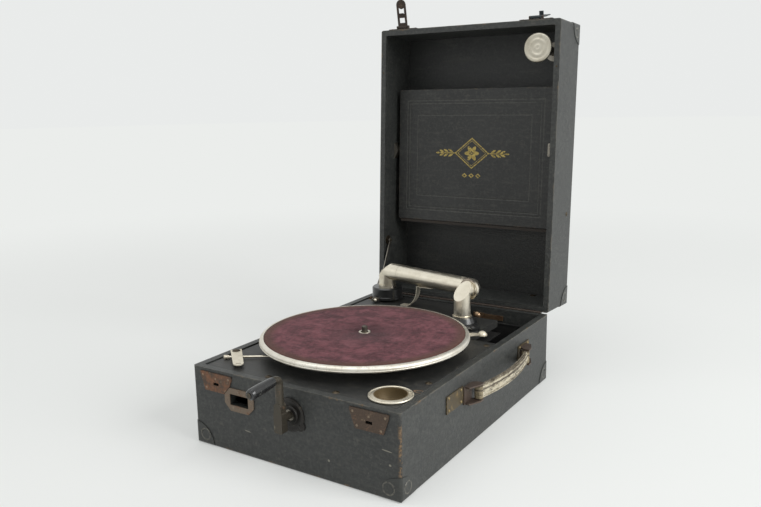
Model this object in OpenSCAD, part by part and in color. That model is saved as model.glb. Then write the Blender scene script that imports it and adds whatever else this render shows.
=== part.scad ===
// Portable spring-driven gramophone in a cloth-covered case, shown open.
// Origin: centre of the underside. +X right, +Y to the hinge side, +Z up.

/* [Case] */
// Width of the case
case_w = 280; // [264:1:300]
// Depth of the case from front to hinge side
case_d = 398; // [390:1:420]
// Height of the base up to its rim
base_h = 95; // [93:1:110]
// Height of the lid
lid_h = 77; // [72:1:90]
// Thickness of the side walls
wall_t = 9; // [7:0.5:10]
// Thickness of the bottom and of the lid's top panel
panel_t = 6; // [4:0.5:8]
// Rounding of the case's outer edges
edge_r = 3; // [2:0.5:4]
// Angle that the lid stands open from its closed place
lid_open = 92.9; // [90:0.1:96]
// Reach of a corner cap along each edge
cap_reach = 27; // [22:1:30]
// Thickness of the corner caps
cap_t = 0.8; // [0.6:0.1:1]

/* [Motor board] */
// Thickness of the motor board
board_t = 9; // [8:0.5:10]
// Drop of the board's face below the rim
board_drop = 1; // [0.5:0.5:2]
// Gap between the board and the walls
board_gap = 1; // [0.6:0.1:1.4]
// Left edge of the rear well behind the arm
well_x = 20; // [10:1:24]
// Left edge of the rear well beside the arm
well_side_x = 90; // [88:1:96]
// Front edge of the rear well
well_y = 47; // [44:1:56]
// Step of the rear well behind the arm
well_step_y = 141; // [138:1:146]

/* [Platter] */
// Distance of the spindle in front of the case's centre
spindle_front = 50; // [48:0.5:52]
// Radius of the platter
platter_r = 127; // [122:0.5:128]
// Height of the felt's top above the rim of the base
felt_rise = 21; // [20:0.5:22]
// Depth of the platter's skirt
skirt_h = 7; // [6:0.5:8]
// Thickness of the felt
felt_t = 1.6; // [1:0.2:2]
// Radius of the record pin
pin_r = 3.6; // [3.5:0.05:3.7]
// Height of the record pin above the felt
pin_h = 8; // [6:0.5:9]

/* [Tonearm] */
// Place of the arm's column to the right of the centre
column_x = 54.3; // [50:0.5:58]
// Place of the arm's column behind the centre
column_y = 105; // [104:0.5:108]
// Height of the arm's axis above the rim
arm_rise = 44; // [43:0.5:45]
// Angle between the parked arm and the hinge side
arm_park = 12.5; // [11:0.5:14]
// Length of the arm from its knuckle to the gooseneck's axis
arm_len = 165; // [158:1:167]
// Distance of the arm's tube behind the column
knuckle = 24; // [23.5:0.5:25]
// Radius of the arm's tube
arm_r = 12.3; // [11.8:0.1:12.6]
// Radius of the column's tube
column_r = 11.4; // [11:0.1:11.6]
// Radius of the sound channel in the arm
channel_r = 9; // [8:0.5:9.5]
// Radius of the sound box
box_r = 23.5; // [22:0.5:24]
// Thickness of the sound box
box_h = 18; // [16:0.5:18]

/* [Front fittings] */
// Place of the crank to the right of the centre
crank_x = 2.8; // [0:0.2:6]
// Height of the crank's axis
crank_z = 64.7; // [64.5:0.1:66]
// Height of the crank's arm from its axis to its bend
crank_arm = 45.5; // [42:0.5:48]
// Length of the crank's knob
knob_len = 38; // [34:1:42]
// Distance of the two catches from the centre
catch_x = 104; // [100:1:106]
// Width of a lock plate at the rim
lock_w = 47; // [42:1:50]
// Height of a lock plate
lock_h = 22; // [20:0.5:24]
// Length of a hasp
hasp_l = 39; // [36:0.5:40]
// Width of a hasp
hasp_w = 15.5; // [14:0.5:17]
// Place of the crank slot to the left of the centre
slot_x = 70; // [68:1:76]
// Width of the crank slot
slot_w = 27; // [24:1:30]
// Height of the crank slot
slot_h = 13; // [11:0.5:14]

/* [Lid fittings] */
// Free width beside the record board, each side
tray_side = 14.5; // [14:0.5:20]
// Height of the record board
tray_h = 199; // [190:1:200]
// Distance of the record board's lower edge from the hinge
tray_s = 113; // [112:1:118]
// Depth of the record board behind the lid's rim
tray_depth = 32; // [31.5:0.5:34]
// Thickness of the record board
tray_t = 4; // [3:0.5:5]
// Distance of the needle cup's centre from the right side
cup_side = 33; // [33:0.5:36]
// Distance of the needle cup's centre from the front
cup_inset = 36; // [34:1:39]
// Radius of the needle cup's rolled rim
cup_r = 24; // [23:0.5:24]
// Radius of the needle cup's mouth
cup_mouth = 17; // [16:0.5:18]

/* [Motor] */
// Module of the great wheel and its pinion
drive_module = 1; // [0.95:0.01:1]
// Module of the second wheel and the spindle's pinion
second_module = 0.9; // [0.88:0.01:0.9]
// Module of the winding pair
wind_module = 1.25; // [1.2:0.01:1.25]
// Radius of the spring barrel
barrel_r = 31; // [29:0.5:32]
// Distance of the barrel's arbor in front of the centre
arbor_front = 112; // [110:0.5:113]
// Radius of the motor's shafts
shaft_r = 4; // [3.5:0.1:4]

/* [Hidden] */
$fn = 64;
// Running clearance of a shaft in its bore, per side
run = 0.05;
// Clearance between pieces that pass each other
gap = 0.3;
// Overlap that lets a cutter pass right through
eps = 1;
front_y = -case_d / 2;
back_y = case_d / 2;
side_x = case_w / 2;
inner_x = side_x - wall_t;
inner_y = back_y - wall_t;
board_z = base_h - board_drop;
cup_x = case_w / 2 - cup_side;
cup_front = case_d / 2 - cup_inset;
tray_w = case_w - 2 * tray_side;
board_under = board_z - board_t;
lid_gap = 0.4;
lid_z = base_h + lid_gap;
lid_top = lid_z + lid_h;
lid_wall = wall_t - 1;
knuckle_r = 2.4;
hinge_y = back_y + 1;
hinge_z = base_h + lid_gap / 2;
hinge_x = 66;
hinge_l = 128;
hinge_parts = 9;
leaf_t = 1;
plate_t = 1.2;
spindle_y = -spindle_front;
felt_z = base_h + felt_rise;
arm_z = base_h + arm_rise;

// A rectangle with round corners, centred
module round_rect(w, d, r) {
    square([w - 2 * r, d], center = true);
    square([w, d - 2 * r], center = true);
    for (x = [-1, 1])
        for (y = [-1, 1])
            translate([x * (w / 2 - r), y * (d / 2 - r)]) circle(r);
}

// A box with all its edges rounded, centred in X and Y, standing on z
module soft_box(w, d, h, r, z = 0) {
    translate([0, 0, z])
        intersection() {
            linear_extrude(h) round_rect(w, d, r);
            translate([0, d / 2, h / 2]) rotate([90, 0, 0]) linear_extrude(d) round_rect(w, h, r);
            translate([-w / 2, 0, h / 2]) rotate([90, 0, 90]) linear_extrude(w) round_rect(d, h, r);
        }
}

// Turns a piece made in the closed lid to the open lid
module in_lid() {
    translate([0, hinge_y, hinge_z])
        rotate([-lid_open, 0, 0])
            translate([0, -hinge_y, -hinge_z]) children();
}

// A tube or rod along Y from y0 to y1 about (x, z)
module along_y(x, z, y0, y1, r) {
    translate([x, y1, z]) rotate([90, 0, 0]) cylinder(h = y1 - y0, r = r);
}

// A tube or rod along X from x0 to x1 about (y, z)
module along_x(y, z, x0, x1, r) {
    translate([x0, y, z]) rotate([0, 90, 0]) cylinder(h = x1 - x0, r = r);
}

// A flat plate on the front face, drawn in X and Z
module on_front(t, y = front_y) {
    translate([0, y, 0]) rotate([90, 0, 0]) linear_extrude(t) children();
}

// A domed head whose flat side is at the origin, facing +Z
module dome(r, h) {
    ball = (r * r + h * h) / (2 * h);
    intersection() {
        translate([0, 0, h - ball]) sphere(ball);
        cylinder(h = h + eps, r = r);
    }
}

// A rounded bar between two points of a plan
module bar2d(a, b, w) {
    run_x = b[0] - a[0];
    run_y = b[1] - a[1];
    waist = 0.985 * w;
    translate(a) circle(w / 2);
    translate(b) circle(w / 2);
    translate(a) rotate(atan2(run_y, run_x)) translate([0, -waist / 2]) square([norm([run_x, run_y]), waist]);
}

// A thin wall that follows a list of plan points
module wall2d(points, t) {
    for (i = [0:len(points) - 2]) bar2d(points[i], points[i + 1], t);
}

// A spur gear's outline: straight-flanked teeth, the first centred at the angle turn
module gear2d(teeth, m, turn = 0, slack = 0.12) {
    pitch_r = m * teeth / 2;
    tip_r = pitch_r + 0.95 * m;
    root_r = pitch_r - 1.25 * m;
    step = 360 / teeth;
    half_root = step * 0.36;
    half_pitch = step * (0.25 - slack / 2);
    half_tip = step * 0.1;
    polygon([for (i = [0:teeth - 1], k = [0:5])
        let (
            r = [root_r, pitch_r, tip_r, tip_r, pitch_r, root_r][k],
            a = turn + i * step + [-half_root, -half_pitch, -half_tip, half_tip, half_pitch, half_root][k]
        ) [r * cos(a), r * sin(a)]]);
}

// CASE AND BOARD
module cap_discs(z) {
    deep = edge_r + 1;
    for (x = [-1, 1])
        for (y = [-1, 1]) {
            along_x(y * back_y, z, x * side_x - deep, x * side_x + deep, cap_reach);
            along_y(x * side_x, z, y * back_y - deep, y * back_y + deep, cap_reach);
            translate([x * side_x, y * back_y, z - deep]) cylinder(h = 2 * deep, r = cap_reach);
        }
}

module cap_rivets(z, up) {
    head = 2.4;
    reach = cap_reach * 0.6;
    for (x = [-1, 1])
        for (y = [-1, 1]) {
            translate([x * (side_x - 8), y * (back_y + cap_t), z + up * reach])
                rotate([-y * 90, 0, 0]) translate([0, 0, -cap_t / 2]) dome(head, 1.4);
            translate([x * (side_x + cap_t), y * (back_y - 8), z + up * reach])
                rotate([0, x * 90, 0]) translate([0, 0, -cap_t / 2]) dome(head, 1.4);
        }
}

module base_block() {
    intersection() {
        soft_box(case_w, case_d, base_h + 20, edge_r);
        translate([-case_w, -case_d, 0]) cube([2 * case_w, 2 * case_d, base_h]);
    }
}

module cap_recess() {
    intersection() {
        cap_discs(0);
        translate([-case_w, -case_d, -eps]) cube([2 * case_w, 2 * case_d, cap_t + eps]);
    }
}

slit_z = base_h - 16.3;
slit_w = 8;
slit_h = 3.2;
lock_t = 1.2;
module slits(depth) {
    for (x = [-1, 1])
        translate([x * catch_x - slit_w / 2, front_y - lock_t - eps, slit_z - slit_h / 2 - 0.4])
            cube([slit_w, lock_t + depth + eps, slit_h]);
}

module hinge_grooves() {
    for (x = [-1, 1])
        along_x(hinge_y, hinge_z, x * hinge_x - hinge_l / 2 - gap, x * hinge_x + hinge_l / 2 + gap,
            knuckle_r + 0.4);
}

winding_hole = 9;
module case_walls() {
    color([0.17, 0.17, 0.16])
        difference() {
            base_block();
            translate([0, 0, -eps]) linear_extrude(base_h + 2 * eps) round_rect(2 * inner_x, 2 * inner_y, 2);
            along_y(crank_x, crank_z, front_y - eps, front_y + wall_t + eps, winding_hole);
            translate([-slot_x - slot_w / 2, front_y - eps, crank_z - slot_h / 2])
                cube([slot_w, wall_t + 2 * eps, slot_h]);
            slits(5);
            hinge_grooves();
            cap_recess();
        }
}

module case_bottom() {
    color([0.2, 0.18, 0.16])
        difference() {
            linear_extrude(panel_t) round_rect(2 * inner_x, 2 * inner_y, 2);
            cap_recess();
        }
}

module base_corner_caps() {
    color([0.23, 0.24, 0.22])
        difference() {
            intersection() {
                union() {
                    intersection() {
                        soft_box(case_w + 2 * cap_t, case_d + 2 * cap_t, base_h + 20, edge_r + cap_t);
                        cap_discs(0);
                    }
                    cap_rivets(0, 1);
                }
                translate([-case_w, -case_d, 0]) cube([2 * case_w, 2 * case_d, base_h]);
            }
            intersection() {
                soft_box(case_w, case_d, base_h + 20, edge_r);
                translate([-case_w, -case_d, cap_t]) cube([2 * case_w, 2 * case_d, base_h]);
            }
        }
}

stay_y = back_y - 36;
stay_z = 88;
stay_x = -inner_x + 1.6;
board_holes = 13;
module board_plan() {
    w = 2 * (inner_x - board_gap);
    d = 2 * (inner_y - board_gap);
    difference() {
        round_rect(w, d, 3);
        translate([well_side_x, well_y]) square([case_w, case_d]);
        translate([well_x, well_step_y]) square([case_w, case_d]);
        translate([-case_w, stay_y - 12]) square([case_w - inner_x + 8, case_d]);
    }
}

speed_pivot = [18.1 - side_x, front_y + 52.9];
pin_drop = [-45, -113];
rod_travel = 13;
brake_pivot = [84, 8];
module rod_slot() {
    bar2d(pin_drop - 4 * [cos(rod_dir), sin(rod_dir)], pin_drop + rod_travel * [cos(rod_dir), sin(rod_dir)], 6);
}

module motor_board() {
    color([0.24, 0.24, 0.23])
        difference() {
            intersection() {
                translate([0, 0, board_under]) linear_extrude(board_t) board_plan();
                soft_box(2 * (inner_x - board_gap), 2 * (inner_y - board_gap), 60, 2, board_z - 60);
            }
            translate([0, spindle_y, board_under - eps]) cylinder(h = board_t + 2 * eps, r = 9);
            translate([cup_x, -cup_front, board_under - eps])
                cylinder(h = board_t + 2 * eps, r = cup_mouth + 2 + gap);
            translate([column_x, column_y, board_under - eps]) cylinder(h = board_t + 2 * eps, r = board_holes);
            translate([0, 0, board_under - eps]) linear_extrude(board_t + 2 * eps) rod_slot();
        }
}

rail_h = 12;
rail_w = 10;
module board_rails() {
    color([0.62, 0.5, 0.36])
        translate([0, 0, board_under - rail_h]) {
            translate([-inner_x, -inner_y + 14, 0]) cube([rail_w, column_y - 39 + inner_y, rail_h]);
            translate([inner_x - rail_w, cup_r - cup_front, 0])
                cube([rail_w, well_y - 16 + cup_front - cup_r, rail_h]);
            translate([-inner_x + 3, -inner_y, 0]) cube([inner_x - 33, rail_w, rail_h]);
            translate([crank_x + 30, -inner_y, 0]) cube([46, rail_w, rail_h]);
        }
}

cup_depth = 15;
cup_lip = 2.6;
module needle_cup() {
    skin = 1.2;
    steps = 10;
    floor_r = cup_mouth * 0.55;
    color([0.74, 0.71, 0.64])
        translate([cup_x, -cup_front, board_z])
            rotate_extrude($fn = 96)
                difference() {
                    union() {
                        polygon(concat(
                            [[0, -cup_depth], [floor_r, -cup_depth]],
                            [for (i = [1:steps])
                                let (a = 90 * i / steps)
                                [floor_r + (cup_mouth + 2 - floor_r) * sin(a), -cup_depth * cos(a)]],
                            [[cup_r - cup_lip / 2, 0], [cup_r - cup_lip / 2, cup_lip * 0.7],
                                [cup_mouth + 1, cup_lip], [0, cup_lip]]));
                        translate([cup_r - cup_lip / 2, cup_lip / 2]) circle(cup_lip / 2, $fn = 24);
                    }
                    polygon(concat(
                        [[-eps, -cup_depth + skin], [floor_r - skin, -cup_depth + skin]],
                        [for (i = [1:steps])
                            let (a = 90 * i / steps)
                            [floor_r - skin + (cup_mouth - floor_r + skin) * sin(a),
                                (skin - cup_depth) * cos(a)]],
                        [[cup_mouth, cup_lip + eps], [-eps, cup_lip + eps]]));
                    translate([-eps - 50, -50]) square([50 + eps, 100]);
                }
}

module lock_plan(up) {
    half = lock_w / 2;
    foot = half * 0.72;
    polygon([[-half, 0], [half, 0], [half, up * 4], [foot, up * lock_h], [-foot, up * lock_h], [-half, up * 4]]);
}

module plate_rivets(up, t) {
    for (x = [-1, 1]) {
        translate([x * (lock_w / 2 - 4), -t, up * 4]) rotate([90, 0, 0]) dome(1.7, 0.9);
        translate([x * (lock_w / 2 - 9), -t, up * (lock_h - 3.5)]) rotate([90, 0, 0]) dome(1.7, 0.9);
    }
}

module slot_plan(grow = 0) {
    w = slot_w + 16 + 2 * grow;
    h = slot_h + 14 + 2 * grow;
    cut = 8.5;
    polygon([[-w / 2, -h / 2 + cut], [-w / 2 + cut, -h / 2], [w / 2 - cut, -h / 2], [w / 2, -h / 2 + cut],
        [w / 2, h / 2 - cut], [w / 2 - cut, h / 2], [-w / 2 + cut, h / 2], [-w / 2, h / 2 - cut]]);
}

module lock_plates() {
    color([0.38, 0.27, 0.2])
        difference() {
            for (x = [-1, 1])
                translate([x * catch_x, front_y, base_h - 4]) {
                    rotate([90, 0, 0]) linear_extrude(lock_t) lock_plan(-1);
                    plate_rivets(-1, lock_t);
                    translate([0, -lock_t, slit_z + 6 - base_h + 4]) rotate([90, 0, 0]) dome(1.6, 0.9);
                }
            slits(0);
            translate([-slot_x, front_y + eps, crank_z])
                rotate([90, 0, 0]) linear_extrude(lock_t + 4) slot_plan(0.4);
        }
}

boss_r = 19;
module crank_escutcheon() {
    lobe = 17;
    color([0.2, 0.19, 0.18])
        translate([crank_x, front_y, crank_z])
            rotate([90, 0, 0])
                difference() {
                    union() {
                        rotate_extrude($fn = 96)
                            polygon([[0, 0], [boss_r, 0], [boss_r, 1.2], [boss_r - 2, 2.6], [boss_r - 5, 1.6],
                                [11, 1.4], [10, 3], [0, 3]]);
                        for (s = [-1, 1])
                            rotate(s > 0 ? -36 : 144) translate([lobe, 0, 0]) {
                                cylinder(h = 1.4, r = 6);
                                translate([0, 0, 1.4]) dome(3.2, 1.3);
                            }
                    }
                    translate([0, 0, -eps]) cylinder(h = 3 + 2 * eps, r = socket_r + run);
                }
}

module slot_escutcheon() {
    w = slot_w + 16;
    h = slot_h + 14;
    color([0.36, 0.25, 0.18])
        translate([-slot_x, front_y, crank_z])
            rotate([90, 0, 0]) {
                linear_extrude(lock_t)
                    difference() {
                        slot_plan();
                        square([slot_w, slot_h], center = true);
                    }
                for (x = [-1, 1]) {
                    translate([x * (w / 2 - 4), 0, lock_t]) dome(2, 1);
                    translate([0, x * (h / 2 - 3.4), lock_t]) dome(2, 1);
                }
            }
}

handle_z = 66;
strap_w = 17;
ring_x = side_x + 10;
ring_front = -42;
ring_rear = 97;
ring_pin = 1.5;
module handle_plates() {
    color([0.45, 0.36, 0.2])
        for (y = [[ring_front - 63, ring_front - 24], [ring_rear - 5, ring_rear + 30]]) {
            translate([side_x, y[0], handle_z + 3 - 10]) cube([plate_t, y[1] - y[0], 20]);
            for (u = [y[0] + 5, y[1] - 5])
                for (z = [-4, 10])
                    translate([side_x + plate_t, u, handle_z + z]) rotate([0, 90, 0]) dome(2, 1);
        }
}

module handle_loops() {
    leg = 1.6;
    color([0.5, 0.47, 0.42])
        for (e = [[ring_front, -1], [ring_rear, 1]])
            translate([side_x + (e[1] > 0 ? plate_t : 0), e[0], handle_z]) {
                translate([0, e[1] > 0 ? 2 : -22, -strap_w / 2 - 2]) cube([leg, 20, strap_w + 4]);
                for (z = [-1, 1])
                    translate([0, 0, z * (strap_w / 2 + 1.2) - leg / 2])
                        linear_extrude(leg)
                            polygon([[0, e[1] * 2], [0, e[1] * 20], [7, e[1] * 20], [14, e[1] * 4],
                                [14, -e[1] * 3], [6, -e[1] * 3]]);
                translate([ring_x - side_x - (e[1] > 0 ? plate_t : 0), 0, -strap_w / 2 - 1.6])
                    cylinder(h = strap_w + 3.2, r = ring_pin);
            }
}

// Leather strap: a bowed band whose ends wrap the loops' pins, with slack to pull outwards
strap_t = 5;
strap_rise = 8.5;
strap_slack = 2.5;
module handle_strap() {
    half = (ring_rear - ring_front) / 2;
    bend = (half * half + strap_rise * strap_rise) / (2 * strap_rise);
    eye = 3.9;
    color([0.72, 0.67, 0.55])
        translate([ring_x, (ring_front + ring_rear) / 2, handle_z - strap_w / 2])
            linear_extrude(strap_w)
                difference() {
                    union() {
                        intersection() {
                            translate([strap_rise - bend, 0])
                                difference() {
                                    circle(bend + strap_t / 2, $fn = 256);
                                    circle(bend - strap_t / 2, $fn = 256);
                                }
                            translate([-4, -half]) square([40, 2 * half]);
                        }
                        for (s = [-1, 1])
                            bar2d([-strap_slack, s * half], [0.6, s * (half - 1)], 2 * eye);
                    }
                    for (s = [-1, 1])
                        bar2d([gap, s * half], [-strap_slack, s * half], 2 * (ring_pin + gap));
                }
}

module tonearm_base() {
    color([0.1, 0.1, 0.1])
        difference() {
            union() {
                translate([0, 0, board_z])
                    linear_extrude(3) {
                        translate([column_x, column_y]) circle(21);
                        bar2d([column_x, column_y], [column_x + 26, column_y - 19], 17);
                    }
                translate([column_x, column_y, board_z + 3]) cylinder(h = 6.5, r1 = 18, r2 = 15.5);
                for (a = [100, 220])
                    translate([column_x + 18 * cos(a), column_y + 18 * sin(a), board_z + 2]) dome(2.4, 2.2);
                translate([column_x + 26, column_y - 19, board_z + 3]) dome(3, 1.4);
            }
            translate([column_x, column_y, 0]) cylinder(h = base_h + 20, r = column_r + run);
        }
}

// Rest for the parked arm: a bent blade with a flat tip
rest_x = -56;
rest_y = 148;
module arm_rest() {
    blade_t = 1.2;
    rise = arm_z - arm_r - blade_t - gap - board_z;
    lean = 18.5;
    tip = 24;
    steps = 12;
    curve = [for (i = [0:steps])
        let (u = i / steps)
        [rest_x + lean * (2 - u) * u, board_z + rise * u * (0.5 + 0.5 * u)]];
    last = curve[steps];
    back = [for (i = [steps:-1:0]) curve[i] - [blade_t, 0]];
    color([0.8, 0.76, 0.68])
        translate([0, rest_y + 5.5, 0])
            rotate([90, 0, 0])
                linear_extrude(11) {
                    polygon(concat(curve, [last + [tip, 0], last + [tip, blade_t], last + [-blade_t, blade_t]],
                        back));
                    translate([rest_x - 10, board_z]) square([11.5, blade_t]);
                }
}

module wall_fittings() {
    bar_z = 82;
    color([0.55, 0.46, 0.3]) {
        translate([-inner_x, stay_y, stay_z]) rotate([0, 90, 0]) cylinder(h = 1.3, r = 6.5);
        along_x(stay_y, stay_z, -inner_x, stay_x + 1.5, 1.5);
        translate([44, inner_y - 1.5, bar_z - 3.5]) cube([33, 1.5, 7]);
        translate([37, inner_y - 2, bar_z]) rotate([90, 0, 0]) dome(5.5, 4);
        translate([31, inner_y - 2, bar_z - 4.5]) cube([16, 2, 9]);
    }
}

// Folded horn under the board: the channel starts under the arm, turns at the left and ends in the well
horn_low = panel_t + 2;
horn_top = 76;
horn_t = 1.5;
horn_left = -inner_x + 6;
horn_back = inner_y - 3;
horn_right = inner_x - 4;
inlet_r = column_r + 1.2;
horn_outer = [[column_x + 18, column_y - 14], [-70, 82], [-104, 84], [-121, 97], [horn_left, 120],
    [horn_left, 162], [horn_left + 7, 178], [horn_left + 22, horn_back], [horn_right, horn_back],
    [horn_right, well_y + 5], [well_side_x + 2, well_y + 5], [well_side_x + 2, column_y - 14],
    [column_x + 18, column_y - 14]];
horn_septum = [[column_x + 18, column_y - 14], [column_x + 18, column_y + 16], [-40, 126], [-82, 129]];
module horn() {
    color([0.12, 0.12, 0.12])
        difference() {
            union() {
                translate([0, 0, horn_low])
                    linear_extrude(horn_top - horn_low) {
                        wall2d(horn_outer, horn_t);
                        wall2d(horn_septum, horn_t);
                    }
                for (z = [horn_low, horn_top - horn_t])
                    translate([0, 0, z]) linear_extrude(horn_t) polygon(horn_outer);
                translate([column_x, column_y, horn_top - horn_t])
                    cylinder(h = board_under - horn_top + horn_t - 0.5, r = inlet_r + horn_t);
            }
            translate([column_x, column_y, horn_top - 10]) cylinder(h = 30, r = inlet_r);
            translate([0, 0, horn_top - horn_t - eps])
                linear_extrude(horn_t + 2 * eps) {
                    translate([well_side_x + 4, well_y + 7]) square([horn_right - well_side_x - 6, 110]);
                    translate([well_x + 4, well_step_y + 2])
                        square([horn_right - well_x - 6, horn_back - well_step_y - 4]);
                }
        }
}

module hinge_knuckles(first, closed) {
    seg = hinge_l / hinge_parts;
    for (x = [-1, 1])
        for (i = [first:2:hinge_parts - 1])
            difference() {
                union() {
                    along_x(hinge_y, hinge_z, x * hinge_x - hinge_l / 2 + i * seg + 0.15,
                        x * hinge_x - hinge_l / 2 + (i + 1) * seg - 0.15, knuckle_r);
                    translate([x * hinge_x - hinge_l / 2 + i * seg + 0.15, back_y,
                        closed ? hinge_z : hinge_z - knuckle_r - 2])
                        cube([seg - 0.3, leaf_t, knuckle_r + 2]);
                }
                if (closed) along_x(hinge_y, hinge_z, -case_w, case_w, 1.2 + run);
            }
}

leaf_h = 17;
module hinge_base_leaves() {
    color([0.42, 0.36, 0.28]) {
        hinge_knuckles(0, false);
        for (x = [-1, 1]) {
            translate([x * hinge_x - hinge_l / 2, back_y, hinge_z - knuckle_r - 1 - leaf_h])
                cube([hinge_l, leaf_t, leaf_h]);
            for (u = [-48, -16, 16, 48])
                translate([x * hinge_x + u, back_y + leaf_t, hinge_z - knuckle_r - 10])
                    rotate([-90, 0, 0]) dome(2.2, 0.8);
            along_x(hinge_y, hinge_z, x * hinge_x - hinge_l / 2, x * hinge_x + hinge_l / 2, 1.2);
        }
    }
}

module hinge_lid_leaves() {
    color([0.42, 0.36, 0.28])
        in_lid() {
            hinge_knuckles(1, true);
            for (x = [-1, 1]) {
                translate([x * hinge_x - hinge_l / 2, back_y, hinge_z + knuckle_r + 1])
                    cube([hinge_l, leaf_t, leaf_h]);
                for (u = [-48, -16, 16, 48])
                    translate([x * hinge_x + u, back_y + leaf_t, hinge_z + knuckle_r + 11])
                        rotate([-90, 0, 0]) dome(2.2, 0.8);
            }
        }
}

// MOTOR
low_plate = 14;
high_plate = 75;
motor_t = 3;
arbor = [crank_x, -arbor_front];
spin = [0, spindle_y];
great_teeth = 72;
second_pinion = 16;
second_teeth = 66;
spindle_pinion = 14;
wind_teeth = 36;
wind_pinion = 12;
worm_teeth = 30;
first_gap = drive_module * (great_teeth + second_pinion) / 2;
next_gap = second_module * (second_teeth + spindle_pinion) / 2;
between = norm(spin - arbor);
along = (first_gap * first_gap - next_gap * next_gap + between * between) / (2 * between);
aside = sqrt(first_gap * first_gap - along * along);
unit = (spin - arbor) / between;
second = arbor + along * unit + aside * [unit[1], -unit[0]];
first_angle = atan2(second[1] - arbor[1], second[0] - arbor[0]);
next_angle = atan2(spin[1] - second[1], spin[0] - second[0]);
worm_r = 3.6;
governor_y = spindle_y + worm_teeth / 2 + worm_r + 1.25;
governor_z = 48;
pillars = [[-70, -146], [54, -146], [-70, -6], [54, -6]];

module shaft(at, z0, z1, r) {
    translate([at[0], at[1], z0]) cylinder(h = z1 - z0, r = r);
}

module gear(at, z, h, teeth, m, turn) {
    translate([at[0], at[1], z]) linear_extrude(h) gear2d(teeth, m, turn);
}

module motor_plates() {
    color([0.6, 0.6, 0.58])
        for (z = [low_plate, high_plate])
            difference() {
                translate([-8, -76, z]) linear_extrude(motor_t) round_rect(144, 156, 8);
                for (at = [arbor, spin, second])
                    shaft(at, z - eps, z + motor_t + eps, (at == second ? pivot_r : shaft_r) + run);
                for (p = pillars) shaft(p, z - eps, z + motor_t + eps, 3 + run);
                if (z == high_plate) {
                    shaft(brake_arm_pivot, z - eps, z + motor_t + eps, 2.4 + run);
                    translate([0, 0, z - eps]) linear_extrude(motor_t + 2 * eps) rod_slot();
                }
            }
}

pivot_r = 2.5;
module motor_pillars() {
    color([0.7, 0.7, 0.68])
        for (p = pillars) {
            shaft(p, low_plate + motor_t, high_plate, 4.5);
            shaft(p, low_plate - 2, board_under, 3);
            shaft(p, low_plate - 4, low_plate, 5);
            shaft(p, high_plate + motor_t, board_under, 6);
        }
}

module bearing_brackets() {
    stand = low_plate + motor_t;
    color([0.66, 0.6, 0.4])
        difference() {
            union() {
                for (x = [-74, 12.5]) {
                    translate([x, governor_y - 5, stand]) cube([2.5, 10, governor_z + 6 - stand]);
                    translate([x, governor_y - 5, stand]) cube([8, 10, 2]);
                }
                translate([crank_x - 9, front_y + 51, crank_z - 10]) cube([18, 3, high_plate - crank_z + 10]);
            }
            along_x(governor_y, governor_z, -100, 40, 2 + run);
            along_y(crank_x, crank_z, front_y + 40, front_y + 60, shaft_r + run);
        }
}

module spindle() {
    tip = felt_z + pin_h;
    color([0.7, 0.68, 0.62]) {
        shaft(spin, low_plate - 1, felt_z - felt_t - 1, shaft_r);
        shaft(spin, felt_z - felt_t - 1, felt_z + 0.75, pin_r - 0.3);
        shaft(spin, felt_z + 0.7, tip - 1.5, pin_r);
        shaft(spin, felt_z - felt_t - 11.4, felt_z - felt_t - 8.4, 9);
        translate([spin[0], spin[1], tip - 1.5]) dome(pin_r, 1.5);
        shaft(spin, 17.4, 19, 5.4);
        gear(spin, 19, 4, spindle_pinion, second_module, next_angle + 180 + 180 / spindle_pinion);
        gear(spin, governor_z - 3, 6, worm_teeth, 1, 0);
    }
}

module spindle_washer() {
    color([0.8, 0.78, 0.72])
        translate([0, spindle_y, felt_z])
            rotate_extrude()
                polygon([[pin_r + 0.9, 0], [7.4, 0], [7.2, 0.3], [6.4, 0.5], [5, 0.5], [pin_r + 0.9, 0.3]]);
}

module platter() {
    top = felt_z - felt_t;
    sheet = 1.4;
    felt_r = platter_r - 5;
    low = felt_z - skirt_h;
    steps = 8;
    round_out = [for (i = [0:steps])
        let (a = 90 - 90 * i / steps)
        [felt_r + 0.2 + (platter_r - felt_r - 0.2) * cos(a), felt_z - 3.4 + 3.2 * sin(a)]];
    color([0.78, 0.75, 0.68])
        translate([0, spindle_y, 0])
            rotate_extrude($fn = 180) {
                polygon(concat([[shaft_r + run, top - sheet], [shaft_r + run, top], [felt_r + 0.2, top]],
                    round_out,
                    [[platter_r, low + 1], [platter_r - 0.6, low], [platter_r - 2, low],
                        [platter_r - 2, top - sheet - 1], [platter_r - 4, top - sheet]]));
                translate([shaft_r + run, top - sheet - 7]) square([9, 7.5]);
                translate([platter_r - 0.3, low + 1.6]) circle(0.7, $fn = 16);
            }
}

module platter_felt() {
    color([0.43, 0.27, 0.3])
        translate([0, spindle_y, felt_z - felt_t])
            difference() {
                cylinder(h = felt_t, r = platter_r - 5, $fn = 180);
                translate([0, 0, -eps]) cylinder(h = felt_t + 2 * eps, r = shaft_r + 0.6);
            }
}

barrel_low = 26;
barrel_high = 50;
module spring_barrel() {
    color([0.62, 0.6, 0.55]) {
        translate([arbor[0], arbor[1], 0])
            rotate_extrude($fn = 96)
                difference() {
                    translate([shaft_r + run, barrel_low]) square([barrel_r - shaft_r - run, barrel_high - barrel_low]);
                    translate([shaft_r + run - eps, barrel_low + 2])
                        square([barrel_r - shaft_r - run + eps - 1.5, barrel_high - barrel_low - 4]);
                }
        difference() {
            gear(arbor, barrel_low, 3, great_teeth, drive_module, first_angle);
            shaft(arbor, barrel_low - eps, barrel_high, barrel_r - 1);
        }
    }
}

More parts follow.
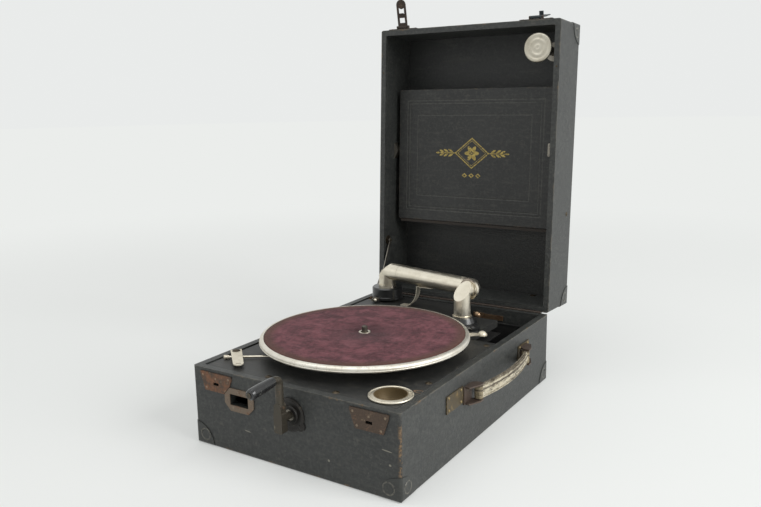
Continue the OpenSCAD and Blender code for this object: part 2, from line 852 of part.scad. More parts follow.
// Mainspring: a flat strip wound in a spiral inside the barrel
module mainspring() {
    turns = 8;
    steps = 24;
    strip = 0.6;
    start = 8.6;
    pitch = (barrel_r - 2.6 - start) / turns;
    outer = [for (i = [0:turns * steps])
        let (a = 360 * i / steps, r = start + pitch * i / steps) [r * cos(a), r * sin(a)]];
    inner = [for (i = [turns * steps:-1:0])
        let (a = 360 * i / steps, r = start + pitch * i / steps - strip) [r * cos(a), r * sin(a)]];
    color([0.35, 0.38, 0.45])
        translate([arbor[0], arbor[1], barrel_low + 3]) linear_extrude(18) polygon(concat(outer, inner));
}

// Winding wheel: arbor with a crown wheel whose teeth stand up into the winding pinion
module winding_wheel() {
    crown_r = wind_module * wind_teeth / 2;
    face = 2.4;
    root = crank_z - wind_module * wind_pinion / 2 - 1.2 * wind_module;
    tooth_h = 1.9 * wind_module;
    step = 360 / wind_teeth;
    color([0.66, 0.6, 0.42]) {
        shaft(arbor, low_plate - 1, high_plate + motor_t + 1, shaft_r);
        shaft(arbor, barrel_low + 2.5, barrel_high - 2.5, 7.6);
        shaft(arbor, barrel_high + 0.6, root - 3, 8);
        difference() {
            shaft(arbor, root - 3, root, crown_r + face + 0.4);
            for (i = [0:3])
                translate([arbor[0], arbor[1], 0])
                    rotate(45 + i * 90) translate([13.5, 0, root - 4]) cylinder(h = 5, r = 4);
        }
        translate([arbor[0], arbor[1], root - 0.5])
            linear_extrude(tooth_h + 0.5)
                for (i = [0:wind_teeth - 1])
                    rotate(-90 + (i + 0.5) * step)
                        polygon([for (c = [[-1, -0.185], [1, -0.185], [1, 0.185], [-1, 0.185]])
                            (crown_r + c[0] * face) * [cos(c[1] * step), sin(c[1] * step)]]);
    }
}

module intermediate_gear() {
    color([0.68, 0.62, 0.42]) {
        shaft(second, low_plate - 1, high_plate + motor_t + 1, pivot_r);
        gear(second, 25.5, 4, second_pinion, drive_module, first_angle + 180 + 180 / second_pinion);
        shaft(second, 22, 25.5, 4.5);
        difference() {
            gear(second, 19.8, 2.4, second_teeth, second_module, next_angle);
            for (i = [0:4])
                translate([second[0], second[1], 19]) rotate(i * 72) translate([16, 0, 0]) cylinder(h = 4, r = 6.5);
        }
    }
}

disc_x = -61;
module governor_shaft() {
    color([0.72, 0.7, 0.65]) {
        along_x(governor_y, governor_z, -75.5, 16, 2);
        along_x(governor_y, governor_z, -9, 9, worm_r);
        along_x(governor_y, governor_z, -18, -13, 6.5);
    }
}

module governor_weights() {
    color([0.6, 0.48, 0.26])
        difference() {
            union() {
                along_x(governor_y, governor_z, disc_x, disc_x + 2, 17);
                along_x(governor_y, governor_z, disc_x, disc_x + 9, 7);
                for (i = [0:2])
                    translate([0, governor_y, governor_z])
                        rotate([i * 120, 0, 0]) {
                            translate([disc_x + 4, -2.5, 6.6]) cube([-13 - disc_x - 4, 5, 0.6]);
                            translate([-41, 0, 10.5]) rotate([0, 90, 0]) cylinder(h = 12, r = 3.6);
                        }
            }
            along_x(governor_y, governor_z, -100, 20, 2 + run);
        }
}

socket_r = 6.5;
socket_len = 16;
module winding_shaft() {
    inner = arbor[1] - wind_module * wind_teeth / 2;
    color([0.68, 0.66, 0.6])
        difference() {
            union() {
                along_y(crank_x, crank_z, front_y + socket_len + 1, inner + 3.5, shaft_r);
                along_y(crank_x, crank_z, front_y - 1.5, front_y + socket_len + 3, socket_r);
                translate([crank_x, inner + 2.2, crank_z])
                    rotate([90, 0, 0]) linear_extrude(4.4) gear2d(wind_pinion, wind_module, -90, 0.2);
            }
            along_y(crank_x, crank_z, front_y - 5, front_y + socket_len, shaft_r + run);
        }
}

crank_y = front_y - 16.5;
crank_rod = 4.4;
knob_tilt = -4;
bend_r = 6;
module crank() {
    bend_z = crank_z + crank_arm - bend_r;
    color([0.45, 0.38, 0.28]) {
        along_y(crank_x, crank_z, crank_y, front_y + socket_len - 1, shaft_r);
        translate([crank_x, crank_y + 4.5, crank_z])
            rotate([90, 0, 0])
                linear_extrude(9) {
                    translate([0, -2.5]) round_rect(11, 23, 2);
                    bar2d([0, 4], [0, 15], 9.4);
                }
        shaft([crank_x, crank_y], crank_z + 8, bend_z, crank_rod);
        translate([crank_x, crank_y - bend_r, bend_z])
            rotate([90, 0, 90])
                rotate_extrude(angle = 90 - knob_tilt) translate([bend_r, 0]) circle(crank_rod, $fn = 40);
        translate([crank_x, crank_y - bend_r, bend_z])
            rotate([90 - knob_tilt, 0, 0])
                translate([0, bend_r, 0]) {
                    translate([0, 0, -0.5]) cylinder(h = 2.1, r = crank_rod - 0.2);
                    translate([0, 0, -1]) cylinder(h = knob_len + 3.4, r = 2.4);
                    translate([0, 0, knob_len + 2]) dome(3.2, 1.6);
                }
    }
}

module crank_knob() {
    color([0.13, 0.13, 0.13])
        translate([crank_x, crank_y - bend_r, crank_z + crank_arm - bend_r])
            rotate([90 - knob_tilt, 0, 0])
                translate([0, bend_r, 1.9])
                    rotate_extrude()
                        polygon([[2.4 + run, 0], [4.4, 0], [5, 1.2], [5.4, 6], [6, knob_len * 0.55],
                            [6, knob_len - 5], [5.4, knob_len - 2], [4, knob_len - 0.4], [2.4 + run, knob_len - 0.4]]);
}

// Speed lever: a flat tab with a window near its round end; its stud pulls the speed rod
tab_dir = -44.1;
tab_l = 52;
rod_z = board_z + 2.4;
tab_z = board_z + 4.4;
stud_at = 14;
stud = speed_pivot + stud_at * [cos(tab_dir), sin(tab_dir)];
rod_dir = atan2(pin_drop[1] - stud[1], pin_drop[0] - stud[0]);
module speed_lever() {
    color([0.82, 0.79, 0.7])
        translate([speed_pivot[0], speed_pivot[1], tab_z])
            rotate(tab_dir)
                linear_extrude(1.2)
                    difference() {
                        union() {
                            translate([-5, -6.6]) square([10, 13.2]);
                            polygon([[0, -6.6], [tab_l - 6, -6], [tab_l - 6, 6], [0, 6.6]]);
                            translate([tab_l - 6, 0]) circle(6);
                        }
                        circle(3 + run);
                        translate([tab_l - 5, 0]) round_rect(2.4, 6.4, 1.1);
                    }
}

module speed_rod() {
    rod_l = norm(pin_drop - stud);
    rod_r = 1.3;
    color([0.8, 0.77, 0.7])
        translate([stud[0], stud[1], rod_z])
            rotate(rod_dir) {
                rotate([0, 90, 0]) translate([0, 0, -13]) cylinder(h = rod_l + 13, r = rod_r);
                rotate([0, 90, 0]) translate([0, 0, -13]) cylinder(h = 4, r = 2.2);
                translate([rod_l, 0, 0]) sphere(rod_r);
                translate([rod_l, 0, brake_arm_z - 1 - rod_z]) cylinder(h = rod_z - brake_arm_z + 1, r = rod_r);
            }
}

brake_arm_pivot = [-66, -75];
brake_arm_z = high_plate - 5;
module governor_brake() {
    color([0.62, 0.56, 0.4]) {
        translate([0, 0, brake_arm_z])
            linear_extrude(1.6)
                difference() {
                    union() {
                        bar2d(brake_arm_pivot, pin_drop, 7);
                        bar2d(brake_arm_pivot, [disc_x - 3.6, governor_y + 4], 6);
                        translate(pin_drop) circle(5);
                    }
                    translate(pin_drop) circle(2.6);
                }
        translate([brake_arm_pivot[0], brake_arm_pivot[1], brake_arm_z]) cylinder(h = 8.3, r = 2.4);
        translate([disc_x - 5, governor_y + 2, governor_z + 8]) cube([2.4, 5, brake_arm_z - governor_z - 7]);
        translate([disc_x - 4, governor_y + 4.5, governor_z + 12]) rotate([0, 90, 0]) cylinder(h = 3.2, r = 3);
    }
}

// Start and stop lever: a curved thumb tab outside the platter and a shoe inside its skirt
brake_z = board_z + 6;
module brake_lever() {
    skirt_in = platter_r - 2 - gap;
    shoe_turn = atan2(brake_pivot[1] - spindle_y, brake_pivot[0]);
    color([0.8, 0.77, 0.7])
        difference() {
            union() {
                translate([0, 0, brake_z])
                    linear_extrude(1.5) {
                        bar2d(brake_pivot, [89, 37], 11);
                        bar2d([89, 37], [98, 48], 9);
                        bar2d([98, 48], [107, 52], 8.4);
                        translate([108.5, 52.6]) circle(6.2);
                        bar2d(brake_pivot, brake_pivot + 12 * [cos(shoe_turn - 40), sin(shoe_turn - 40)], 9);
                    }
                translate([108.5, 52.6, brake_z + 0.7]) dome(5.6, 5);
                translate([0, spindle_y, brake_z])
                    intersection() {
                        linear_extrude(felt_z - felt_t - 3 - brake_z)
                            difference() {
                                circle(skirt_in);
                                circle(skirt_in - 4);
                            }
                        translate(brake_pivot - [0, spindle_y])
                            rotate(shoe_turn - 34) translate([6, -4, 0]) cube([40, 14, 30]);
                    }
                translate([0, spindle_y, brake_z])
                    intersection() {
                        linear_extrude(1.5) circle(skirt_in);
                        translate(brake_pivot - [0, spindle_y])
                            rotate(shoe_turn - 34) translate([4, -4, 0]) cube([40, 14, 30]);
                    }
            }
            translate([brake_pivot[0], brake_pivot[1], brake_z - eps]) cylinder(h = 5, r = 3 + run);
        }
}

screw_places = [[-122, -96], [123, -112], [-122, 66], [123, 34], [-40, -183], [52, -183]];
module board_screws() {
    color([0.6, 0.55, 0.42]) {
        for (p = screw_places)
            difference() {
                translate([p[0], p[1], board_z]) dome(4, 1.6);
                translate([p[0] - 5, p[1] - 0.5, board_z + 0.9]) cube([10, 1, 2]);
            }
        shaft(speed_pivot, board_z, tab_z + 1.6, 3);
        translate([speed_pivot[0], speed_pivot[1], tab_z + 1.6]) dome(5, 1.4);
        shaft(speed_pivot, board_z, tab_z - gap, 4.6);
        shaft(brake_pivot, board_z, brake_z + 2, 3);
        shaft(brake_pivot, board_z, brake_z - gap, 5);
        translate([brake_pivot[0], brake_pivot[1], brake_z + 2]) dome(5, 1.4);
    }
}

// TONEARM
// A cylinder along the arm, from p0 to p1 at height z and distance q
module arm_p(p0, p1, q, z, r) {
    translate([p0, q, z]) rotate([0, 90, 0]) cylinder(h = p1 - p0, r = r);
}

// A cylinder across the arm, from q0 to q1
module arm_q(q0, q1, r) {
    translate([0, q0, 0]) rotate([-90, 0, 0]) cylinder(h = q1 - q0, r = r);
}

// Half space that cuts an elbow's outer corner at 45 degrees, moved in by a wall
module mitre(inset = 0.5) {
    rotate([45, 0, 0]) translate([-50, -100, -inset]) mirror([0, 0, 1]) cube([100, 200, 100]);
}

spigot_r = 10;
collar_q = 12.6;
module tonearm_column() {
    color([0.8, 0.78, 0.72])
        difference() {
            union() {
                intersection() {
                    union() {
                        shaft([column_x, column_y], board_under - 5, arm_z + 20, column_r);
                        translate([column_x, column_y, arm_z]) rotate(-arm_park) arm_q(0, collar_q, column_r);
                    }
                    translate([column_x, column_y, arm_z]) rotate(-arm_park) mitre();
                }
                translate([column_x, column_y, board_z + 9.5 + gap]) cylinder(h = 2, r = column_r + 1.8);
                translate([column_x, column_y, arm_z]) rotate(-arm_park) arm_q(collar_q - 2, knuckle - 1, spigot_r);
            }
            intersection() {
                union() {
                    shaft([column_x, column_y], 0, arm_z + 20, channel_r);
                    translate([column_x, column_y, arm_z]) rotate(-arm_park) arm_q(0, 40, channel_r);
                }
                translate([column_x, column_y, arm_z]) rotate(-arm_park) mitre(2);
            }
        }
}

neck_p = arm_len - 30;
module tonearm_tube() {
    color([0.8, 0.78, 0.72])
        translate([column_x, column_y, arm_z])
            rotate(-arm_park)
                mirror([1, 0, 0])
                    difference() {
                        union() {
                            intersection() {
                                union() {
                                    arm_q(collar_q + gap, knuckle + arm_r, arm_r);
                                    arm_p(-arm_r, neck_p, knuckle, 0, arm_r);
                                }
                                translate([0, knuckle, 0])
                                    rotate(45) translate([-100, -200, -50]) cube([200, 200, 100]);
                            }
                            arm_q(collar_q + gap, collar_q + 4.2, arm_r + 2.3);
                        }
                        arm_q(collar_q, knuckle, spigot_r + run);
                        arm_q(0, collar_q + gap - 0.05, column_r + gap);
                        arm_p(0, neck_p + eps, knuckle, 0, spigot_r + run);
                        translate([0, knuckle, 0]) sphere(spigot_r + run);
                    }
}

neck_low = -24;
module gooseneck() {
    color([0.8, 0.78, 0.72])
        translate([column_x, column_y, arm_z])
            rotate(-arm_park)
                mirror([1, 0, 0])
                    translate([0, knuckle, 0])
                        difference() {
                            union() {
                                intersection() {
                                    union() {
                                        arm_p(neck_p + gap, arm_len + arm_r, 0, 0, arm_r);
                                        translate([arm_len, 0, neck_low + 2]) cylinder(h = -neck_low + arm_r, r = arm_r);
                                    }
                                    translate([arm_len, 0, 0])
                                        rotate([0, 45, 0]) translate([-100, -50, -200]) cube([200, 100, 200]);
                                }
                                arm_p(neck_p - 12, neck_p + 2, 0, 0, spigot_r);
                                translate([arm_len, 0, neck_low]) cylinder(h = 4, r = arm_r + 0.9);
                            }
                            arm_p(0, arm_len, 0, 0, channel_r);
                            translate([arm_len, 0, -40]) cylinder(h = 40, r = channel_r);
                            translate([arm_len, 0, 0]) sphere(channel_r);
                        }
}

// Puts a piece in the sound box's own frame: z up from the lower face, X along the arm, Y to the front
box_low = board_z + 3;
module at_box() {
    translate([column_x, column_y, 0])
        rotate(-arm_park)
            translate([-arm_len, knuckle, box_low]) children();
}

module soundbox_body() {
    back = box_h - 3;
    neck = arm_z + neck_low - box_low;
    color([0.09, 0.09, 0.1])
        at_box()
            difference() {
                rotate_extrude($fn = 96)
                    polygon([[box_r - 3, 0], [box_r - 0.8, 0], [box_r, 0.8], [box_r, 4], [box_r - 0.8, 4.6],
                        [box_r - 0.8, box_h - 1.6], [box_r - 2.4, box_h], [channel_r + 3, box_h],
                        [channel_r + 2, neck], [channel_r, neck], [channel_r, back],
                        [box_r - 5, back], [box_r - 3, back - 3]]);
                translate([-1.8, -box_r - eps, -eps]) cube([3.6, 6, 3.8 + eps]);
            }
}

module soundbox_diaphragm() {
    color([0.7, 0.68, 0.62])
        at_box()
            translate([0, 0, 5.2])
                rotate_extrude($fn = 96)
                    polygon([[0, 0], [box_r - 3.3, 0], [box_r - 3.3, 1.2], [box_r - 5, 1.2], [box_r - 6, 0.5],
                        [6, 0.5], [4, 1.5], [0, 1.5]]);
}

chuck_r = 2.2;
chuck_end = box_r + 9.5;
module stylus_bar() {
    color([0.6, 0.58, 0.54])
        at_box()
            difference() {
                union() {
                    translate([-1.4, -box_r + 1, 1.6]) cube([2.8, box_r - 1, 1.8]);
                    cylinder(h = 5.2, r = 1.6);
                    translate([-6, -box_r - 2.4, 0]) cube([12, 2.1, 5]);
                    translate([-1.4, -box_r - 1, 1.6]) cube([2.8, 3, 1.8]);
                    translate([0, -box_r - 2, 2.2]) rotate([90, 0, 0]) cylinder(h = chuck_end - box_r - 2, r = chuck_r);
                }
                translate([0, -chuck_end + 7, 2.2]) rotate([90, 0, 0]) cylinder(h = 12, r = 0.8);
                translate([0, -chuck_end + 3.4, 2.2]) rotate([0, 90, 0]) cylinder(h = 6, r = 1 + run);
            }
}

module needle_screw() {
    color([0.75, 0.72, 0.66])
        at_box()
            translate([0, -chuck_end + 3.4, 2.2])
                rotate([0, 90, 0]) {
                    translate([0, 0, 0.9]) cylinder(h = 4, r = 1);
                    translate([0, 0, 2.6]) cylinder(h = 3, r = 2.4);
                    translate([0, 0, 5.6]) dome(2.4, 0.8);
                }
}

// LID, drawn closed and turned open
module lid_block(grow = 0) {
    soft_box(case_w + 2 * grow, case_d + 2 * grow, lid_h + 20 + grow, edge_r + grow, lid_z - 20);
}

module lid_space() {
    translate([-case_w, -case_d, lid_z]) cube([2 * case_w, 2 * case_d, lid_h + 10]);
}

module lid_walls() {
    color([0.19, 0.19, 0.18])
        in_lid()
            difference() {
                intersection() {
                    lid_block();
                    lid_space();
                }
                translate([0, 0, lid_z - eps])
                    linear_extrude(lid_h + 2 * eps)
                        round_rect(case_w - 2 * lid_wall, case_d - 2 * lid_wall, 2);
                hinge_grooves();
            }
}

module lid_panel() {
    color([0.16, 0.16, 0.15])
        in_lid()
            translate([0, 0, lid_top - panel_t])
                linear_extrude(panel_t) round_rect(case_w - 2 * lid_wall, case_d - 2 * lid_wall, 2);
}

module lid_corner_caps() {
    color([0.23, 0.24, 0.22])
        in_lid()
            difference() {
                union() {
                    intersection() {
                        lid_block(cap_t);
                        cap_discs(lid_top);
                    }
                    cap_rivets(lid_top, -1);
                }
                lid_block();
            }
}

// Catch plates and hasps
hasp_z = lid_z + 2.6;
hasp_y = front_y - 3.6;
module catch_plates() {
    ear = 2;
    color([0.3, 0.27, 0.23])
        in_lid()
            for (x = [-1, 1])
                translate([x * catch_x, 0, 0]) {
                    translate([0, front_y, lid_z + 1]) {
                        rotate([90, 0, 0]) linear_extrude(lock_t) lock_plan(1);
                        plate_rivets(1, lock_t);
                    }
                    for (u = [-1, 1]) {
                        along_x(hasp_y, hasp_z, u * (hasp_w / 2 + gap + ear / 2) - ear / 2,
                            u * (hasp_w / 2 + gap + ear / 2) + ear / 2, 2);
                        translate([u * (hasp_w / 2 + gap + ear / 2) - ear / 2, hasp_y, hasp_z - 1.5])
                            cube([ear, front_y - hasp_y, 3.5]);
                    }
                    along_x(hasp_y, hasp_z, -hasp_w / 2 - ear, hasp_w / 2 + ear, 1.1);
                }
}

// A hasp that hangs straight down from its pin when latched
hasp_t = 1.2;
tongue_at = hasp_z - slit_z;
module hasp_shape() {
    root = 6;
    low_window = 7;
    window_w = 9;
    difference() {
        union() {
            along_x(0, 0, -hasp_w / 2, hasp_w / 2, 2.1);
            translate([0, hasp_t / 2, 0])
                rotate([90, 0, 0])
                    linear_extrude(hasp_t)
                        difference() {
                            union() {
                                translate([-hasp_w / 2, -hasp_l + hasp_w / 2]) square([hasp_w, hasp_l - hasp_w / 2]);
                                translate([0, -hasp_l + hasp_w / 2]) circle(hasp_w / 2);
                            }
                            translate([-window_w / 2, -root - low_window]) square([window_w, low_window]);
                            translate([-window_w / 2, -tongue_at - 8]) square([window_w, 8 + 0.6]);
                        }
            translate([0, -0.6, -hasp_l + hasp_w / 2]) rotate([90, 0, 0]) dome(hasp_w / 2 - 2, 1.6);
            translate([-3, 0, -tongue_at - 0.5]) cube([6, 6.6, 1]);
            translate([-3, -hasp_t / 2, -tongue_at - 0.5]) cube([6, hasp_t, 1.6]);
        }
        along_x(0, 0, -hasp_w, hasp_w, 1.1 + run);
    }
}

hasp_left_turn = 77;
hasp_right_turn = 168;
module hasp(x, turn) {
    in_lid()
        translate([x, hasp_y, hasp_z]) rotate([-turn, 0, 0]) hasp_shape();
}

module hasp_left() {
    color([0.34, 0.3, 0.25]) hasp(-catch_x, hasp_left_turn);
}

module hasp_right() {
    color([0.34, 0.3, 0.25]) hasp(catch_x, hasp_right_turn);
}

// Record board, its ledge and its side clips
tray_y = back_y - tray_s;
module record_board() {
    color([0.2, 0.2, 0.2])
        in_lid()
            translate([0, tray_y - tray_h / 2, lid_z + tray_depth])
                linear_extrude(tray_t) round_rect(tray_w, tray_h, 2.5);
}

module pocket_ledge() {
    top = lid_top - panel_t;
    color([0.55, 0.45, 0.34])
        in_lid()
            translate([-tray_w / 2 + 4, tray_y + gap, lid_z + tray_depth + 1])
                cube([tray_w - 8, 4, top - lid_z - tray_depth - 1]);
}

module board_clips() {
    inner = side_x - lid_wall;
    from_hinge = 219;
    color([0.72, 0.7, 0.65])
        in_lid()
            for (x = [-1, 1])
                translate([x * inner, back_y - from_hinge, lid_z + tray_depth - 4])
                    mirror([x > 0 ? 0 : 1, 0, 0])
                        linear_extrude(9)
                            polygon([[0, -12], [0, 12], [-1, 12], [-4.6, 4], [-5.6, 0], [-4.6, -4], [-1, -12]]);
}

post_r = 4;
cap_z = base_h + 3.6;
module cap_post() {
    color([0.5, 0.48, 0.44])
        in_lid() {
            translate([cup_x, -cup_front, cap_z + 17.5]) cylinder(h = lid_top - panel_t - cap_z - 17.5, r = 6);
            translate([cup_x, -cup_front, lid_top - panel_t - 2.5]) cylinder(h = 2.5, r = 13);
            translate([cup_x, -cup_front, cap_z + 7]) cylinder(h = 12, r = post_r);
        }
}

module needle_cap() {
    cap_r = cup_r - 4.2;
    travel = 5;
    color([0.78, 0.76, 0.7])
        in_lid()
            translate([cup_x, -cup_front, cap_z])
                rotate_extrude($fn = 96)
                    difference() {
                        polygon([[0, 0.8], [3, 0], [5, 0.6], [cap_r - 6, 0.6], [cap_r - 5, 0], [cap_r - 2, 0],
                            [cap_r, 1.6], [cap_r, 4], [cap_r - 1.2, 4], [cap_r - 2, 2.6], [7, 2.6],
                            [6.4, 12.5], [0, 12.5]]);
                        translate([0, 7 - travel + 0.5]) square([post_r + run, 12]);
                    }
}

module lid_studs() {
    color([0.5, 0.44, 0.34])
        in_lid() {
            for (y = [back_y - 57, front_y + 57])
                translate([-side_x, y, lid_z + 8]) rotate([0, -90, 0]) dome(4.5, 3);
            translate([side_x, back_y - 134, lid_z + 57]) rotate([0, 90, 0]) dome(3.4, 1.2);
            for (x = [-1, 1])
                translate([x * (side_x - lid_wall / 2), back_y - 336, lid_z]) rotate([180, 0, 0]) dome(1.4, 0.3);
            translate([92, back_y - lid_wall, lid_z + 64]) rotate([90, 0, 0]) dome(5, 2);
            translate([-side_x + lid_wall, stay_top[0], stay_top[1]]) rotate([0, 90, 0]) cylinder(h = 1.4, r = 7);
            along_x(stay_top[0], stay_top[1], -side_x + lid_wall, -side_x + lid_wall + 6.2, 1.5);
        }
}

// Folding stay of the lid, at the left wall: two links with the elbow left open
stay_top = [back_y - 79.5, lid_z + 11.7];
stay_foot = [stay_y, stay_z];
stay_bar = 5.5;
open_top = [
    hinge_y + (stay_top[0] - hinge_y) * cos(lid_open) + (stay_top[1] - hinge_z) * sin(lid_open),
    hinge_z - (stay_top[0] - hinge_y) * sin(lid_open) + (stay_top[1] - hinge_z) * cos(lid_open)];
stay_span = norm(open_top - stay_foot);
stay_l = 0.502 * stay_span;
stay_turn = acos(stay_span / 2 / stay_l);
stay_angle = atan2(open_top[1] - stay_foot[1], open_top[0] - stay_foot[0]);
elbow = stay_foot + stay_l * [cos(stay_angle - stay_turn), sin(stay_angle - stay_turn)];
module stay_link(a, b, x, t) {
    translate([x, 0, 0])
        rotate([90, 0, 90])
            linear_extrude(t)
                difference() {
                    union() {
                        bar2d(a, b, 3.4);
                        translate(a) circle(stay_bar / 2 + 1);
                        translate(b) circle(stay_bar / 2);
                    }
                    translate(a) circle(1.5 + run);
                }
}

module stay_upper() {
    color([0.6, 0.57, 0.5]) {
        stay_link(open_top, elbow, stay_x + 1.7, 1.1);
        translate([stay_x + 2.8, elbow[0], elbow[1]]) rotate([0, 90, 0]) dome(2.4, 0.8);
    }
}

module stay_lower() {
    color([0.5, 0.47, 0.42])
        difference() {
            stay_link(stay_foot, elbow, stay_x, 1.2);
            along_x(stay_foot[0], stay_foot[1], -inner_x, -inner_x + 5, 1.5 + run);
        }
}

case_walls();
case_bottom();
base_corner_caps();
motor_board();
board_rails();
needle_cup();
lock_plates();
crank_escutcheon();
slot_escutcheon();
handle_plates();
handle_loops();
tonearm_base();
arm_rest();
wall_fittings();
horn();
hinge_base_leaves();
motor_plates();
motor_pillars();
bearing_brackets();
board_screws();
platter();
platter_felt();
spindle();
spindle_washer();
spring_barrel();
mainspring();
winding_wheel();
intermediate_gear();
governor_shaft();
governor_weights();
winding_shaft();
crank();
crank_knob();
speed_lever();
speed_rod();
governor_brake();
brake_lever();
tonearm_column();
tonearm_tube();
gooseneck();
soundbox_body();
soundbox_diaphragm();
stylus_bar();
needle_screw();
lid_walls();
lid_panel();
lid_corner_caps();
hinge_lid_leaves();
catch_plates();
pocket_ledge();
board_clips();
cap_post();
lid_studs();
record_board();
needle_cap();
hasp_left();
hasp_right();
stay_upper();
stay_lower();
handle_strap();
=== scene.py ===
"""The looks of a portable spring-driven gramophone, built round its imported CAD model."""

import math

import bmesh
import bpy
from mathutils import Matrix, Vector, noise


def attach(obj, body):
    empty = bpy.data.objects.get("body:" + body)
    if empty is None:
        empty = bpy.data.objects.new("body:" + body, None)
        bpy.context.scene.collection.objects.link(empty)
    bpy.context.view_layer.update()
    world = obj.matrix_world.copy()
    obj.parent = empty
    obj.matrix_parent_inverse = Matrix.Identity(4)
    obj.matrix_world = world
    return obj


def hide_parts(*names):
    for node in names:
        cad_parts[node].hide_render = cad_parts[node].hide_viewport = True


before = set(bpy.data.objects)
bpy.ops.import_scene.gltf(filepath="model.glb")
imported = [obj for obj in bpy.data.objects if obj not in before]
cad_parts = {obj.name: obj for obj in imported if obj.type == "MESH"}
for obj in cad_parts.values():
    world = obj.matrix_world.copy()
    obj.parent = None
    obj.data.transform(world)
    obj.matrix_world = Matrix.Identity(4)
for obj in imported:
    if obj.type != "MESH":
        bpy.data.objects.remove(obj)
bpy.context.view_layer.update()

MM = 0.001
# The case, in millimetres: half its width, half its depth, the rim of the base and the top of the shut lid
HALF_W = 140
HALF_D = 199
RIM = 95
LID_TOP = 172.4
# The lid stands open by this angle about its hinge line
LID_OPEN = math.radians(92.9)
HINGE = Vector((0, 200, 95.2))
SPINDLE_Y = -50
# The record board in the shut lid: its middle, its size and its underside
BOARD_Y = -13.5
BOARD_SIZE = (251, 199, 4)
BOARD_Z = 127.4
# How far the handle plates and the lock plates stand out of the case
PLATE_T = 1.2
LOCK_T = 1.2
CUP = Vector((107, -163, 0))
# The strap: its height, the radius and the centre of its bow, and the pins at its ends
STRAP_Z = 66
BOW = 288.38
BOW_CENTRE = Vector((-129.88, 27.5, STRAP_Z))
PINS = (-42, 97)
# The arm as parked: where its axis crosses the column's, its turn, its length, the tube's distance
# from the column and the tube's radius
ARM_TOP = Vector((54.3, 105, 139))
ARM_TURN = math.radians(-12.5)
ARM_LONG = 165
ARM_SIDE = 24
ARM_R = 12.3
# Pale scratches on the front face: the middle's place across and up, half the length and half the height
SCRATCHES = ((124, 52.6, 6.5, 0.7), (127.5, 38, 1.6, 1.3), (-60, 31, 5, 0.6), (52, 24, 1.5, 1.5))
# The scrape on the motor board beside the needle cup: its middle and its half lengths along X and Y
SCRAPE = (127, -138, 6.5, 3.2)
# The felt disc: its radius and the top of its nap
FELT_R = 121.9
FELT_TOP = 116.0


# Shader maths

class Wire:
    """A value in a material. Its operators add Math nodes, and node() adds a node of any other type."""

    def __init__(self, tree, socket=None):
        self.tree = tree
        self.socket = socket

    def node(self, kind, settings=None, sockets=None, out=0):
        """Adds a node with its settings and sockets, and gives back one of its outputs."""
        made = self.tree.nodes.new(kind)
        for name, value in (settings or {}).items():
            if name == "stops":
                for i, (place, colour) in enumerate(value):
                    element = made.color_ramp.elements[i] if i < 2 else made.color_ramp.elements.new(place)
                    element.position = place
                    element.color = colour
            else:
                setattr(made, name, value)
        for name, value in (sockets or {}).items():
            if isinstance(value, Wire):
                self.tree.links.new(value.socket, made.inputs[name])
            else:
                made.inputs[name].default_value = value
        return Wire(self.tree, made.outputs[out] if made.outputs else None)

    def math(self, operation, *values):
        """Adds a Math node."""
        return self.node("ShaderNodeMath", {"operation": operation}, dict(enumerate(values)))

    def __add__(self, other):
        return self.math("ADD", self, other)

    def __sub__(self, other):
        return self.math("SUBTRACT", self, other)

    def __rsub__(self, other):
        return self.math("SUBTRACT", other, self)

    def __mul__(self, other):
        return self.math("MULTIPLY", self, other)

    def __truediv__(self, other):
        return self.math("DIVIDE", self, other)

    def __pow__(self, other):
        return self.math("POWER", self, other)

    def __abs__(self):
        return self.math("ABSOLUTE", self)

    def least(self, other):
        """The smaller of two values."""
        return self.math("MINIMUM", self, other)

    def most(self, other):
        """The larger of two values."""
        return self.math("MAXIMUM", self, other)

    def ease(self, low, high):
        """0 at low and 1 at high, smooth between them. low may be the larger."""
        sockets = {"Value": self, "From Min": low, "From Max": high}
        return self.node("ShaderNodeMapRange", {"interpolation_type": "SMOOTHSTEP"}, sockets)

    def part(self, axis):
        """One coordinate of a point."""
        return self.node("ShaderNodeSeparateXYZ", None, {0: self}, axis)

    def noise(self, scale, detail=3.0, rough=0.5, warp=0.0):
        """Cloudy noise about 0.5."""
        sockets = {"Vector": self, "Scale": scale, "Detail": detail, "Roughness": rough, "Distortion": warp}
        return self.node("ShaderNodeTexNoise", None, sockets, "Fac")

    def cells(self, scale, feature="F1"):
        """The distance to the nearest of scattered points, or to the edge of its cell."""
        sockets = {"Vector": self, "Scale": scale}
        return self.node("ShaderNodeTexVoronoi", {"feature": feature}, sockets, "Distance")

    def stretched(self, x, y, z):
        """The point, with each coordinate multiplied."""
        return self.node("ShaderNodeMapping", None, {"Vector": self, "Scale": (x, y, z)})

    def turned(self, angle, axis=0, at=(0, 0, 0)):
        """The point, turned by an angle about the line along an axis through at."""
        turn = [0.0, 0.0, 0.0]
        turn[axis] = angle
        rest = Vector(at) - Matrix.Rotation(angle, 3, "XYZ"[axis]) @ Vector(at)
        return self.node("ShaderNodeMapping", None, {"Vector": self, "Rotation": turn, "Location": rest})

    def tint(self, other, share):
        """This colour, mixed with another by a share from 0 to 1."""
        sockets = {0: share, 6: self, 7: other}
        return self.node("ShaderNodeMix", {"data_type": "RGBA", "clamp_factor": True}, sockets, 2)

    def ramp(self, *stops):
        """A colour that runs between the stops."""
        return self.node("ShaderNodeValToRGB", {"stops": stops}, {0: self})


def tone(code):
    """A colour written as six hex digits, as the linear numbers that a shader takes."""
    parts = [int(code[i:i + 2], 16) / 255 for i in (0, 2, 4)]
    return tuple(p / 12.92 if p <= 0.04045 else ((p + 0.055) / 1.055) ** 2.4 for p in parts) + (1.0,)


